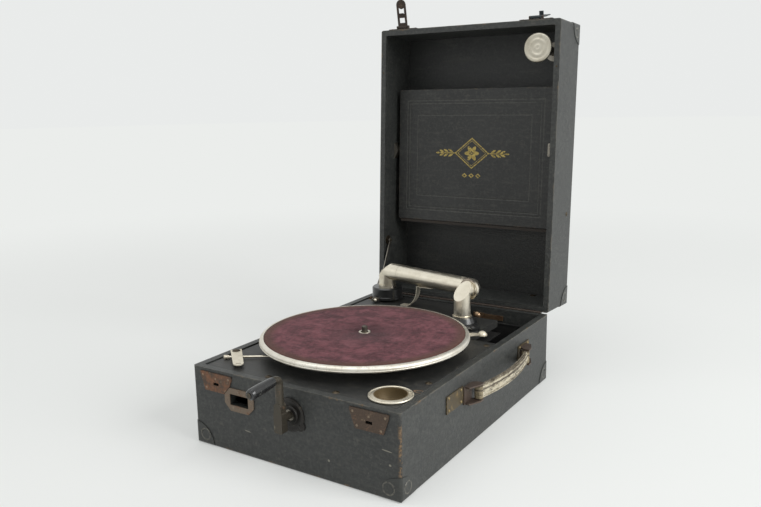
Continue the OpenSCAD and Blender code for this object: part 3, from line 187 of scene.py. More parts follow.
def start(name):
    """A new material, and its points in millimetres."""
    material = bpy.data.materials.new(name)
    material.use_nodes = True
    material.node_tree.nodes.clear()
    place = Wire(material.node_tree).node("ShaderNodeTexCoord", None, None, "Object")
    return material, place.stretched(1000, 1000, 1000)


def close(material, place, colour, rough, metal=0.0, relief=None, depth=0.1, fixed=None, coat=None):
    """Joins the parts of a finish to one surface shader. The relief's depth is in millimetres."""
    sockets = {"Base Color": colour, "Roughness": rough, "Metallic": metal}
    if relief is not None:
        sockets["Normal"] = place.node("ShaderNodeBump", None, {"Height": relief, "Distance": depth * MM})
    if coat is not None:
        sockets["Coat Weight"] = coat
    sockets.update(fixed or {})
    shader = place.node("ShaderNodeBsdfPrincipled", None, sockets)
    place.node("ShaderNodeOutputMaterial", None, {"Surface": shader})
    return material


def to_shut(place):
    """A point on the open lid, as it lies when the lid is shut."""
    return place.turned(LID_OPEN, 0, HINGE)


# Finishes

def case_cloth(name, shut, low, high, is_base, lined=False):
    """Pebbled black leathercloth on a case half, rubbed through to the wood along its edges."""
    material, place = start(name)
    here = shut(place)
    x = here.part(0)
    y = here.part(1)
    z = here.part(2)
    to_side = HALF_W - abs(x)
    to_end = HALF_D - abs(y)
    to_face = to_side.least(to_end)
    to_level = (z - low).least(high - z)
    upright = to_side.most(to_end)
    level = to_face.most(to_level)
    near = upright.least(level)
    coarse = place.noise(0.045, 5, 0.62)
    fine = place.noise(0.5, 4, 0.65)
    mixed = coarse * 0.6 + fine * 0.4
    rub = near.ease(2.6, 0.6) * mixed.ease(0.56, 0.64)
    if is_base:
        corner = abs(x - HALF_W).most(abs(y + HALF_D)).ease(4.0, 1.0)
        run = z.ease(20, 34) * z.ease(90, 80)
        bare = corner * run * mixed.ease(0.44, 0.52)
        foot = abs(y + HALF_D).most(z).ease(4.5, 1.2) * mixed.ease(0.53, 0.6)
        rub = rub.most(bare).most(foot)
    pebble = place.cells(1.5)
    creases = place.noise(0.22, 4, 0.65, 0.6)
    patches = place.noise(0.014, 4, 0.6)
    dust = place.stretched(1, 1, 2.2).noise(0.075, 6, 0.75).ease(0.5, 0.8)
    streaks = place.stretched(0.25, 0.25, 1.6).turned(0.35, 0).noise(0.16, 5, 0.7).ease(0.5, 0.72)
    scuffs = place.stretched(1, 6, 1).turned(0.5, 0).noise(0.1, 3, 0.5).ease(0.66, 0.74)
    flecks = place.cells(0.09).ease(0.12, 0.05) * fine.ease(0.5, 0.6)
    handled = near.ease(16, 0) * fine.ease(0.5, 0.75)
    colour = patches.ramp((0.3, tone("232524")), (0.72, tone("303231")))
    grainy = place.noise(0.26, 5, 0.72)
    colour = colour.tint(tone("444542"), grainy.ease(0.46, 0.66) * 0.7)
    colour = colour.tint(tone("1c1d1c"), grainy.ease(0.46, 0.32) * 0.5)
    colour = colour.tint(tone("4c4d49"), dust * 0.55)
    colour = colour.tint(tone("4a4b47"), streaks * 0.45)
    colour = colour.tint(tone("67645b"), scuffs * 0.25)
    colour = colour.tint(tone("7a776d"), flecks * 0.35)
    colour = colour.tint(tone("474038"), handled * 0.5)
    if is_base:
        for cx, cz, half_long, half_high in SCRATCHES:
            across = (x - cx) / half_long
            down = (z - cz + (x - cx) * 0.08) / half_high
            mark = (across * across + down * down).ease(1.1, 0.6) * y.ease(0.4 - HALF_D, 0.1 - HALF_D)
            colour = colour.tint(tone("8d897c"), mark * 0.75)
    if lined:
        inner = z.ease(high - 0.8, high - 1.6)
        dusty = place.stretched(0.25, 1, 1.2).noise(0.07, 6, 0.75).ease(0.5, 0.72)
        colour = colour.tint(tone("0f100f"), inner * 0.7)
        colour = colour.tint(tone("3b3a35"), inner * dusty * 0.5)
    # A lighter line within 1.5 mm of every edge: partly rubbed wear, partly a painted highlight along the
    # edges
    line = near.ease(1.5, 0.5) * coarse.ease(0.4, 0.6)
    colour = colour.tint(tone("66635a"), line * 0.6)
    wood = fine.ramp((0.35, tone("42352a")), (0.65, tone("7d664a")))
    colour = colour.tint(wood, rub)
    rough = patches * 0.12 + dust * 0.14 + streaks * 0.08 + rub * 0.2 + 0.4
    relief = pebble * 0.5 + creases * 0.8 + grainy * 0.8 - rub * 1.2
    return close(material, place, colour, rough, 0.0, relief, 0.3)


def lining(name, low, high, dusty, scrape=None):
    """Cloth on the inner faces, with its weave, dust and specks, and a scrape where one is given.

    The mica of the sound box uses it too, in its own colours.
    """
    material, place = start(name)
    weave = place.stretched(1, 0.35, 0.35).noise(0.9, 2) + place.stretched(0.3, 1, 1).noise(0.9, 2)
    patches = place.noise(0.01, 5, 0.65)
    dust = place.noise(0.05, 6, 0.75).ease(0.5, 0.8)
    specks = place.noise(0.6, 2).ease(0.7, 0.78)
    streaks = place.stretched(1, 7, 7).noise(0.03, 4, 0.6).ease(0.56, 0.72)
    colour = patches.ramp((0.3, tone(low)), (0.75, tone(high)))
    colour = colour.tint(tone("6b675c"), dust * dusty)
    colour = colour.tint(tone("5c5a52"), streaks * dusty * 0.6)
    colour = colour.tint(tone("8a8272"), specks * 0.3)
    grainy = place.noise(0.2, 5, 0.75)
    colour = colour.tint(tone("4a4943"), grainy.ease(0.52, 0.7) * dusty)
    if scrape:
        du = (place.part(0) - scrape[0]) / scrape[2]
        dv = (place.part(1) - scrape[1]) / scrape[3]
        ring = abs((du * du + dv * dv) ** 0.5 - 1).ease(0.3, 0.1) * grainy.ease(0.38, 0.5)
        colour = colour.tint(tone("7a6047"), ring * 0.8)
    rough = dust * 0.2 + patches * 0.08 + 0.46
    return close(material, place, colour, rough, 0.0, weave + grainy, 0.12)


def leaf(u, v, centre, angle, length, width):
    """1 on a leaf-shaped spot of the ornament, 0 off it."""
    du = u - centre[0]
    dv = v - centre[1]
    along = (du * math.cos(angle) + dv * math.sin(angle)) / length
    across = (dv * math.cos(angle) - du * math.sin(angle)) / width
    return (along * along + abs(across) * 1.1).ease(1.05, 0.9)


def ornament(u, v):
    """A plain lozenge with a rosette and two sprays of leaves, and three small lozenges below."""
    side = abs(u)
    lozenge = side / 27 + abs(v) / 22
    gold = abs(lozenge - 1).ease(0.06, 0.035).most(abs(lozenge - 0.84).ease(0.025, 0.012))
    radius = (u * u + v * v) ** 0.5
    turn = v.math("ARCTAN2", v, u) * 6
    petals = turn.math("COSINE", turn)
    gold = gold.most((radius - petals * 2.6).ease(9.6, 9.0) * radius.ease(2.2, 2.7))
    gold = gold.most(radius.ease(1.4, 1.0))
    gold = gold.most(abs(v).ease(0.9, 0.5) * side.ease(28, 28.6) * side.ease(53, 52))
    for centre, angle in (((35, 3.4), 0.45), ((43, 3.4), 0.45), ((50, 2.6), 0.35)):
        gold = gold.most(leaf(side, abs(v), centre, angle, 4.6, 1.7))
    gold = gold.most(leaf(side, v, (56.5, 0), 0, 3.6, 1.5))
    for shift in (-11, 0, 11):
        small = abs(u - shift) / 4.6 + abs(v + 33) / 3.6
        gold = gold.most(small.ease(1.06, 0.9) * small.ease(0.38, 0.5))
    return gold


def tooled_board():
    """The record board's leathercloth, with rectangles pressed into it and a gilt ornament."""
    material, place = start("tooled_board")
    shut = to_shut(place)
    u = shut.part(0)
    v = BOARD_Y - shut.part(1)
    line = 0
    for half_w, half_h, width in ((110, 83, 0.7), (105.5, 78.5, 0.5), (92, 61, 0.6)):
        away = abs((abs(u) - half_w).most(abs(v) - half_h))
        line = away.ease(width * 2, width * 0.7).most(line)
    pebble = place.cells(1.35)
    patches = place.noise(0.012, 5, 0.6)
    dust = place.noise(0.06, 6, 0.75).ease(0.54, 0.82)
    fine = place.noise(0.5, 4, 0.6)
    coarse = place.noise(0.09, 5, 0.65)
    near = (BOARD_SIZE[0] / 2 - abs(u)).least(BOARD_SIZE[1] / 2 - abs(v))
    worn = near.ease(3.0, 0.5) * (coarse * 0.5 + fine * 0.5).ease(0.52, 0.6)
    gold = ornament(u, v - 5) * (fine * 0.6 + coarse * 0.4).ease(0.36, 0.46)
    grainy = place.noise(0.24, 5, 0.75)
    streaks = shut.stretched(0.3, 1.4, 1).noise(0.14, 5, 0.7).ease(0.5, 0.7)
    colour = patches.ramp((0.3, tone("1d1e1d")), (0.72, tone("282928")))
    colour = colour.tint(tone("3d3d3a"), grainy.ease(0.48, 0.66) * 0.6)
    colour = colour.tint(tone("454440"), streaks * 0.4)
    colour = colour.tint(tone("4b4842"), dust * 0.4)
    colour = colour.tint(tone("4e4e49"), line * grainy.ease(0.3, 0.55) * 0.5)
    colour = colour.tint(tone("574b3c"), worn * 0.6)
    gilt = fine.ramp((0.35, tone("85733a")), (0.65, tone("b9a45c")))
    colour = colour.tint(gilt, gold)
    rough = dust * 0.15 + patches * 0.06 - gold * 0.12 + 0.48
    relief = pebble * 0.35 + grainy * 0.6 - line * 0.8 + gold * 0.15
    return close(material, place, colour, rough, gold * 0.35, relief, 0.3)


def plated(name, light, dark, smooth, stain, spots=0.5, metal=1.0, bowl=None):
    """Old plate: bright where it is whole, clouded, freckled and pitted where it is not."""
    material, place = start(name)
    wide = place.noise(0.03, 5, 0.62)
    grime = place.noise(0.09, 6, 0.7).ease(0.5, 0.78)
    freckle = place.cells(0.42).ease(0.32, 0.1) * place.noise(0.07, 3, 0.6).ease(0.48, 0.6)
    hair = place.stretched(1, 1, 9).noise(0.3, 3, 0.6)
    colour = wide.ramp((0.32, tone(dark)), (0.7, tone(light)))
    colour = colour.tint(tone(stain), (grime * spots).most(freckle * spots))
    rough = grime * 0.28 + hair * 0.1 + freckle * 0.2 + (smooth - 0.05)
    metallic = metal - (grime * 0.45 + freckle * 0.5) * (spots * metal)
    if bowl:
        x = place.part(0) - CUP.x
        y = place.part(1) - CUP.y
        inside = ((x * x + y * y) ** 0.5).ease(18.8, 17.6)
        brown = grime.ramp((0.2, tone(bowl[0])), (0.8, tone(bowl[1])))
        colour = colour.tint(brown, inside)
        metallic = metallic * (1 - inside * 0.6)
        rough = rough + inside * 0.15
    relief = hair * 0.12 + grime * 0.3 - freckle * 0.4 if spots > 0.2 else None
    return close(material, place, colour, rough, metallic, relief, 0.035 * spots)


def rusted(name, base, rust, bright, share, patch="74523a", proud=None, redder=False):
    """Dark steel or lacquer, rusted in patches and rubbed bright on its high spots, which also carry a
    painted highlight where proud is given.
    """
    material, place = start(name)
    wide = place.noise(0.08, 6, 0.7)
    fine = place.noise(0.55, 4, 0.6)
    rusty = (wide * 0.65 + fine * 0.35).ease(0.66 - share * 0.3, 0.72 - share * 0.2)
    bare = place.noise(0.14, 5, 0.7, 0.5).ease(0.58, 0.7)
    colour = fine.ramp((0.25, tone(base)), (0.8, tone(rust)))
    shade = wide.ramp((0.35, tone(rust)), (0.7, tone(patch)))
    colour = colour.tint(shade, rusty)
    if redder:
        colour = colour.tint(tone("8a5a3c"), place.part(0).ease(20, -20) * wide.ease(0.4, 0.6) * 0.6)
    colour = colour.tint(tone(bright), bare * 0.5)
    if proud:
        axis, level = proud
        # The raised parts are lighter: partly rubbed bright, partly a painted highlight
        raised_rub_and_highlight = abs(place.part(axis)).ease(level + 0.1, level + 0.6)
        colour = colour.tint(tone(bright), raised_rub_and_highlight * 0.5)
        rusty = rusty * (1 - raised_rub_and_highlight)
    rough = rusty * 0.3 + fine * 0.12 + 0.36
    metallic = bare * 0.3 - rusty * 0.4 + 0.5
    return close(material, place, colour, rough, metallic, fine * 0.6 + rusty * 0.6, 0.14)


def turntable_felt():
    """Faded plum felt, browner towards the rim, with fibres, lint and rub marks."""
    material, place = start("plum_felt")
    x = place.part(0)
    y = place.part(1) - SPINDLE_Y
    radius = (x * x + y * y) ** 0.5
    mottled = place.noise(0.045, 6, 0.75)
    blots = place.stretched(1.5, 0.8, 1).noise(0.06, 6, 0.78).ease(0.44, 0.66)
    smears = place.stretched(0.7, 1.6, 1).turned(0.6, 2).noise(0.05, 5, 0.7).ease(0.5, 0.7)
    fibre = place.noise(1.1, 3, 0.65)
    lint = place.noise(0.3, 6, 0.85).ease(0.56, 0.7)
    rim = (radius.ease(96, 122) + mottled * 0.5 - 0.25).ease(0.3, 1.0)
    middle = radius.ease(58, 12)
    wave = radius * 0.9 + mottled * 9
    ring = wave.math("SINE", wave)
    colour = mottled.ramp((0.4, tone("4b252b")), (0.6, tone("77454c")))
    colour = colour.tint(tone("34161b"), blots * 0.6)
    colour = colour.tint(tone("86545b"), smears * 0.5)
    colour = colour.tint(tone("54382e"), rim * 0.85)
    colour = colour.tint(tone("341e22"), middle * 0.5)
    colour = colour.tint(tone("9a7878"), lint * 0.4)
    colour = colour.tint(tone("33191e"), (ring * 0.5 + 0.5) * 0.12)
    relief = fibre + blots * 0.5
    fixed = {"Sheen Weight": 0.06, "Sheen Roughness": 0.5, "Specular IOR Level": 0.25}
    return close(material, place, colour, lint * 0.04 + 0.9, 0.0, relief, 0.4, fixed)


def strap_hide(name, low, high, dark):
    """Pale cracked strap leather with dark stains where a hand has held it."""
    material, place = start(name)
    y = place.part(1)
    height = place.part(2) - STRAP_Z
    flaked = place.stretched(1, 0.6, 1.4).cells(0.5, "DISTANCE_TO_EDGE").ease(0.12, 0.0)
    wide = place.stretched(1, 0.45, 1.5).noise(0.16, 6, 0.78, 0.4)
    fine = place.noise(0.9, 4, 0.7)
    held = abs(y - 35).ease(75, 20)
    wander = place.stretched(1, 0.3, 1).noise(0.3, 4, 0.7)
    split = abs(height - 2.1 + (wander - 0.5) * 2.4).ease(1.2, 0.35)
    torn = height.ease(4.6, 8.0)
    close_by = abs(height - 1.6).ease(4.5, 0.8)
    flecks = place.stretched(1, 0.7, 1.5).noise(0.2, 5, 0.75).ease(0.5, 0.57)
    stains = (wide * 0.7 + fine * 0.3 + held * 0.04 + torn * 0.1).ease(0.545, 0.585)
    colour = fine.ramp((0.3, tone(low)), (0.7, tone(high)))
    colour = colour.tint(tone("8a7a5e"), flaked * 0.45)
    colour = colour.tint(tone("574a37"), flecks * (torn.most(close_by) * 0.6 + 0.2))
    colour = colour.tint(tone(dark), (stains * 0.8).most(split * 0.85))
    rough = stains * 0.1 + flaked * 0.1 + 0.58
    return close(material, place, colour, rough, 0.0, fine * 0.4 - flaked * 0.7 - stains * 0.5, 0.35)


def black_gloss(name, shade, shine, worn_to):
    """Black lacquer, enamel or hard rubber with fine scratches and dull patches."""
    material, place = start(name)
    wide = place.noise(0.05, 5, 0.6)
    fine = place.noise(0.45, 3, 0.6)
    worn = place.noise(0.16, 5, 0.7).ease(0.58, 0.74)
    colour = wide.ramp((0.3, tone(shade)), (0.75, tone("2b2b2b")))
    colour = colour.tint(tone(worn_to), worn * 0.45)
    rough = worn * 0.3 + wide * 0.12 + shine
    coat = 0.3 - worn * 0.25
    return close(material, place, colour, rough, 0.0, fine * 0.5 - worn * 0.4, 0.08, None, coat)


def pressed_ring(across, height, middle, radius):
    """1 on a ring pressed into a corner cap, 0 off it."""
    away = (across - middle) * (across - middle) + height * height
    return abs(away ** 0.5 - radius).ease(1.1, 0.4)


def corner_lacquer(name, shut, level):
    """Black lacquer on the corner caps, with a ring pressed into each face and its edge rubbed."""
    material, place = start(name)
    here = shut(place)
    x = abs(here.part(0))
    y = abs(here.part(1))
    height = abs(here.part(2) - level) - 13
    wide = place.noise(0.05, 5, 0.6)
    grainy = place.noise(0.3, 5, 0.7)
    on_end = pressed_ring(x, height, 125.6, 6.8) * y.ease(HALF_D, HALF_D + 0.3)
    on_side = pressed_ring(y, height, 187, 6.5) * x.ease(HALF_W, HALF_W + 0.3)
    ring = on_end.most(on_side)
    colour = wide.ramp((0.3, tone("282a28")), (0.75, tone("343634")))
    colour = colour.tint(tone("4a4944"), grainy.ease(0.48, 0.7) * 0.7)
    colour = colour.tint(tone("6c695f"), ring * grainy.ease(0.36, 0.55) * 0.8)
    rough = grainy * 0.2 + 0.32
    return close(material, place, colour, rough, 0.0, ring * 1.5 + grainy * 0.4, 0.25)


def bare_wood(name, low, high):
    """Raw or stained wood with its grain along X."""
    material, place = start(name)
    rings = place.stretched(0.6, 8, 8).noise(0.025, 4, 0.6, 0.4)
    pores = place.stretched(1, 12, 12).noise(0.16, 3, 0.6)
    colour = rings.ramp((0.32, tone(low)), (0.68, tone(high)))
    colour = colour.tint(tone("3b2a1c"), pores.ease(0.55, 0.75) * 0.4)
    return close(material, place, colour, pores * 0.15 + 0.68, 0.0, rings * 0.4 + pores * 0.5, 0.3)


cloth_base = case_cloth("case_cloth_base", lambda p: p, 0, RIM, True)
cloth_lid = case_cloth("case_cloth_lid", to_shut, RIM + 0.4, LID_TOP, False)
cloth_panel = case_cloth("case_cloth_panel", to_shut, RIM + 0.4, LID_TOP, False, True)
floor_lining = lining("bottom_lining", "2a2724", "3a3632", 0.5)
board_cloth = lining("board_cloth", "1d1e1d", "2c2c2b", 0.4, SCRAPE)
tooled = tooled_board()
plum_felt = turntable_felt()
hide = strap_hide("strap_hide", "b9af96", "e4dcc6", "40362a")
hide_edge = strap_hide("strap_edge", "72674f", "aca083", "332b22")
nickel = plated("old_nickel", "d6cfc0", "b3aa9a", 0.34, "6b5b45", 0.45)
bright = plated("bright_nickel", "e9e2d2", "cfc7b5", 0.31, "8a7a60", 0.14)
rim_nickel = plated("rim_nickel", "ece8de", "d2ccbe", 0.44, "8a7b62", 0.55, 0.92)
cap_nickel = plated("cap_nickel", "cfcabd", "b0a998", 0.4, "7b705d", 0.45)
cup_nickel = plated("cup_nickel", "e9e3d4", "cfc6b2", 0.36, "857457", 0.3, 0.9, ("6a5a3e", "48391f"))
pale_plate = plated("pale_plate", "e6dfcd", "cfc6b2", 0.42, "85785f", 0.35, 0.55)
copper_clip = plated("copper_clip", "b09a7c", "80604a", 0.4, "523726", 0.6, 0.85)
dark_steel = plated("dark_steel", "77736b", "55514a", 0.42, "2e2820", 0.6)
dull_steel = plated("dull_steel", "9d988d", "77726a", 0.4, "4e4234", 0.6)
old_brass = plated("old_brass", "a98c55", "7c6440", 0.36, "4c3a22", 0.6)
dark_screw = plated("dark_screws", "5c5346", "3f382e", 0.46, "2a241d", 0.7)
spring_blue = plated("blue_spring", "5a6070", "3f4450", 0.32, "35302a", 0.4)
mica = lining("mica_disc", "a59b84", "cfc6ae", 0.1)
plate_brass = rusted("handle_plate_brass", "453e2e", "5a4b31", "a38e5e", 0.45, "776342",
                     (0, HALF_W + PLATE_T))
base_lacquer = corner_lacquer("base_corner_lacquer", lambda p: p, 0)
lid_lacquer = corner_lacquer("lid_corner_lacquer", to_shut, LID_TOP)
lock_rust = rusted("lock_rust", "43382f", "5a493d", "9a8a74", 0.45, "6f503a",
                   (1, HALF_D + LOCK_T), True)
lock_dark = rusted("lock_dark", "2c2723", "40332a", "6b6255", 0.3)
hasp_steel = rusted("hasp_steel", "24292c", "343b3e", "6c7476", 0.2, "33383a")
slot_rust = rusted("slot_rust", "685c50", "7c6b5b", "a89a85", 0.4)
loop_steel = rusted("loop_steel", "4f4743", "655448", "a89e90", 0.2, "6b5240")
boss_dark = rusted("boss_dark", "1f1f1d", "2c2825", "6b6457", 0.2, "403127")
crank_steel = rusted("crank_steel", "403e37", "4d453a", "918b7e", 0.25)
knob_black = black_gloss("knob_black", "101113", 0.2, "77776f")
enamel = black_gloss("black_enamel", "0f1011", 0.26, "3b3a36")
horn_lacquer = black_gloss("horn_lacquer", "151514", 0.5, "3a362e")
deal = bare_wood("deal", "7a5a3a", "a98558")
stained = bare_wood("stained_ledge", "1f1b18", "332b24")

DRESS = {
    cloth_base: ["case_walls"], cloth_lid: ["lid_walls"], cloth_panel: ["lid_panel"],
    floor_lining: ["case_bottom"], board_cloth: ["motor_board"], cup_nickel: ["needle_cup"],
    base_lacquer: ["base_corner_caps"], lid_lacquer: ["lid_corner_caps"], horn_lacquer: ["horn"],
    lock_rust: ["lock_plates"],
    lock_dark: ["catch_plates", "hasp_left", "hinge_base_leaves", "hinge_lid_leaves"],
    hasp_steel: ["hasp_right"],
    slot_rust: ["slot_escutcheon"],
    boss_dark: ["crank_escutcheon"], plate_brass: ["handle_plates"], crank_steel: ["crank"],
    knob_black: ["crank_knob"], enamel: ["tonearm_base", "soundbox_body"], rim_nickel: ["platter"],
    nickel: ["needle_screw", "spindle_washer"],
    pale_plate: ["arm_rest", "brake_lever", "speed_lever"], dark_steel: ["spindle"],
    bright: ["speed_rod", "tonearm_column", "tonearm_tube", "gooseneck"], copper_clip: ["wall_fittings"],
    old_brass: ["bearing_brackets", "winding_wheel", "intermediate_gear", "governor_weights",
                "governor_brake"],
    dark_screw: ["board_screws", "lid_studs"],
    loop_steel: ["handle_loops"],
    dull_steel: ["motor_plates", "motor_pillars", "spring_barrel", "governor_shaft",
                 "winding_shaft", "stylus_bar", "board_clips", "cap_post", "stay_upper", "stay_lower"],
    spring_blue: ["mainspring"], mica: ["soundbox_diaphragm"], deal: ["board_rails"],
    stained: ["pocket_ledge"],
}
for finish, names in DRESS.items():
    for name in names:
        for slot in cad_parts[name].material_slots:
            slot.material = finish


# Pieces

def piece(name, bm, body, finish, stands_for=(), smooth=True):
    """Makes a mesh that was drawn in millimetres a piece that rides on a body."""
    bmesh.ops.scale(bm, vec=(MM, MM, MM), verts=bm.verts)
    mesh = bpy.data.meshes.new(name)
    bm.to_mesh(mesh)
    bm.free()
    mesh.materials.append(finish)
    for face in mesh.polygons:
        face.use_smooth = smooth
    obj = bpy.data.objects.new(name, mesh)
    bpy.context.scene.collection.objects.link(obj)
    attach(obj, body)
    if stands_for:
        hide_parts(*stands_for)
    return obj


def open_with_lid(bm):
    """Turns what was drawn in the shut lid to the open lid."""
    bmesh.ops.rotate(bm, cent=HINGE, matrix=Matrix.Rotation(-LID_OPEN, 3, "X"), verts=bm.verts)


def block(bm, middle, size):
    """Adds a box with its middle and its size."""
    matrix = Matrix.Translation(middle) @ Matrix.Diagonal((*size, 1))
    bmesh.ops.create_cube(bm, size=1, matrix=matrix)


def lathe(bm, profile, centre, steps, closed):
    """Turns a chain of (radius, height) points about an upright axis."""
    verts = [bm.verts.new(Vector(centre) + Vector((r, 0, h))) for r, h in profile]
    pairs = list(zip(verts, verts[1:]))
    if closed:
        pairs.append((verts[-1], verts[0]))
    edges = [bm.edges.new(pair) for pair in pairs]
    bmesh.ops.spin(bm, geom=verts + edges, cent=centre, axis=(0, 0, 1), angle=2 * math.pi,
                   steps=steps, use_merge=True)
    bmesh.ops.remove_doubles(bm, verts=bm.verts, dist=0.001)
    bmesh.ops.recalc_face_normals(bm, faces=bm.faces)


def sweep(bm, face, centre, angle, steps):
    """Sweeps a face about an upright axis into a solid bar."""
    geom = [face] + face.edges[:] + face.verts[:]
    bmesh.ops.spin(bm, geom=geom, cent=centre, axis=(0, 0, 1), angle=angle, steps=steps)
    bmesh.ops.recalc_face_normals(bm, faces=bm.faces)


def strap_layer(name, outline, finish, fray, stands_for=()):
    """One layer of the strap: its outline across the band, swept along the bow, with ragged edges."""
    bm = bmesh.new()
    half = (PINS[1] - PINS[0]) / 2
    reach = math.asin(half / BOW) * 0.985
    out = Vector((math.cos(reach), -math.sin(reach), 0))
    verts = [bm.verts.new(BOW_CENTRE + out * (BOW + u) + Vector((0, 0, v))) for u, v in outline]
    sweep(bm, bm.faces.new(verts), BOW_CENTRE, 2 * reach, 120)
    for vert in bm.verts:
        offset = vert.co - BOW_CENTRE
        edge = max(0.0, offset.z - 6.6) / 1.9
        turn = math.atan2(offset.y, offset.x) * BOW
        ragged = noise.noise(Vector((turn * 0.55, offset.z * 0.2, fray * 9)))
        lumpy = noise.noise(Vector((turn * 0.12, offset.z * 0.25, fray * 5)))
        across = Vector((offset.x, offset.y, 0)).normalized()
        vert.co += across * (lumpy * 0.3 + ragged * edge * 0.8 * fray)
        vert.co.z -= edge * abs(ragged) * 2.6 * fray
    return piece(name, bm, "handle", finish, stands_for)


def strap_ends():
    """The folded ends of the strap, round the loops' pins."""
    bm = bmesh.new()
    for y in PINS:
        for x, turn in ((150.2, 1), (147.6, -1)):
            centre = Vector((x, y, STRAP_Z))
            ring = [bm.verts.new(centre + Vector((0, -r * turn, v)))
                    for r, v in ((2.1, -7.8), (2.1, 7.8), (3.2, 8.2), (3.7, 7.3), (3.7, -7.3), (3.2, -8.2))]
            sweep(bm, bm.faces.new(ring), centre, math.pi, 14)
        for side in (-1, 1):
            block(bm, Vector((148.9, y + side * 2.9, STRAP_Z)), (2.8, 1.6, 15.8))
    return piece("strap_ends", bm, "handle", hide_edge, (), False)


def strap_stitches():
    """Two rows of stitches along the outer layer."""
    bm = bmesh.new()
    reach = math.asin((PINS[1] - PINS[0]) / 2 / BOW) * 0.95
    count = 46
    for side in (-1, 1):
        for i in range(count):
            angle = -reach + 2 * reach * i / (count - 1)
            spot = BOW_CENTRE + Vector((math.cos(angle), math.sin(angle), 0)) * (BOW + 1.75)
            shape = (Matrix.Translation(spot + Vector((0, 0, side * 6.3)))
                     @ Matrix.Rotation(angle, 4, "Z") @ Matrix.Rotation(0.25 * side, 4, "X")
                     @ Matrix.Diagonal((0.4, 1.15, 0.42, 1)))
            bmesh.ops.create_uvsphere(bm, u_segments=8, v_segments=5, radius=1.0, matrix=shape)
    return piece("strap_stitches", bm, "handle", hide_edge)


def strap():
    """The handle: a crowned outer layer, a flat inner layer and a dark filler between them."""
    outer = [(0.15, -8), (0.6, -8.5), (1.3, -8.4), (1.8, -7.6), (1.3, -6.3), (2.05, -4.8),
             (2.4, -2.2), (2.45, 0), (2.35, 1.6), (1.3, 2.9), (2.2, 4.2), (2.1, 5.4), (1.3, 6.3),
             (1.8, 7.6), (1.3, 8.4), (0.6, 8.5), (0.15, 8)]
    inner = [(-2.4, -7.8), (-2.4, 7.8), (-1.9, 8.4), (-1.1, 8.4), (-0.7, 7.8), (-0.7, -7.8),
             (-1.1, -8.4), (-1.9, -8.4)]
    filler = [(-0.8, -7), (-0.8, 7), (0.3, 7), (0.3, -7)]
    strap_layer("strap_outer", outer, hide, 1.0, ["handle_strap"])
    strap_layer("strap_inner", inner, hide, 0.8)
    strap_layer("strap_filler", filler, hide_edge, 0.1)
    strap_ends()
    strap_stitches()


def felt_mat():
    """The felt disc on the platter, rolled down at its edge."""
    bm = bmesh.new()
    under = 114.42
    profile = [(4.8, under), (4.8, 115.7), (5.6, 115.95), (60, FELT_TOP), (113, FELT_TOP + 0.02),
               (119.6, 115.94), (121.2, 115.6), (FELT_R, 115.0), (FELT_R, under)]
    lathe(bm, profile, (0, SPINDLE_Y, 0), 160, True)
    mat = piece("felt_mat", bm, "turntable", plum_felt, ["platter_felt"])


def cup_cap():
    """The sprung cap of the needle cup, with its pressed rings and rolled edge."""
    bm = bmesh.new()
    face = 98.6
    rings = [(0.0, 1.0), (1.6, 0.6), (2.6, 0.2), (3.6, 0.35), (5.0, 1.0), (6.6, 1.1), (8.0, 0.9),
             (9.0, 0.3), (10.2, 0.15), (11.4, 0.3), (12.6, 1.0), (13.8, 1.1), (15.0, 0.6),
             (16.2, 0.15), (17.6, 0.15), (18.6, 0.5), (19.5, 1.3), (19.8, 2.4), (19.6, 3.6),
             (19.0, 4.0), (18.5, 3.6), (18.2, 2.9), (7.2, 2.9), (6.9, 3.4), (6.4, 4.2),
             (6.4, 12.4), (4.2, 12.4), (4.2, 2.2), (0.0, 2.2)]
    lathe(bm, [(r, face + h) for r, h in rings], CUP, 96, False)
    open_with_lid(bm)
    return piece("cup_cap", bm, "cap", cap_nickel, ["needle_cap"])


def record_board():
    """The cloth-covered board of the record pocket, with soft edges."""
    bm = bmesh.new()
    block(bm, Vector((0, BOARD_Y, BOARD_Z + BOARD_SIZE[2] / 2)), BOARD_SIZE)
    upright = [e for e in bm.edges if abs(e.verts[0].co.z - e.verts[1].co.z) > 1]
    bmesh.ops.bevel(bm, geom=upright, offset=2.5, segments=4, profile=0.5, affect="EDGES", material=-1)
    rims = [e for e in bm.edges if abs(e.verts[0].co.z - e.verts[1].co.z) < 0.01]
    bmesh.ops.bevel(bm, geom=rims, offset=1.1, segments=3, profile=0.5, affect="EDGES", material=-1)
    open_with_lid(bm)
    return piece("tooled_record_board", bm, "tray", tooled, ["record_board"], False)


def board_catch():
    """The steel catch on the right edge of the record board, held by two pins."""
    bm = bmesh.new()
    middle = Vector((119.6, -25.6, BOARD_Z - 1.0))
    block(bm, middle, (4.4, 19, 2.2))
    upright = [e for e in bm.edges if abs(e.verts[0].co.z - e.verts[1].co.z) > 1]
    bmesh.ops.bevel(bm, geom=upright, offset=2.1, segments=6, profile=0.5, affect="EDGES", material=-1)
    low = [e for e in bm.edges if all(v.co.z < middle.z - 1 for v in e.verts)]
    bmesh.ops.bevel(bm, geom=low, offset=0.9, segments=4, profile=0.5, affect="EDGES", material=-1)
    for y in (-6.4, 6.4):
        pin = Matrix.Translation(middle + Vector((0, y, -1.1))) @ Matrix.Diagonal((1, 1, 0.5, 1))
        bmesh.ops.create_uvsphere(bm, u_segments=14, v_segments=8, radius=1.1, matrix=pin)
    open_with_lid(bm)
    return piece("board_catch", bm, "tray", dull_steel)


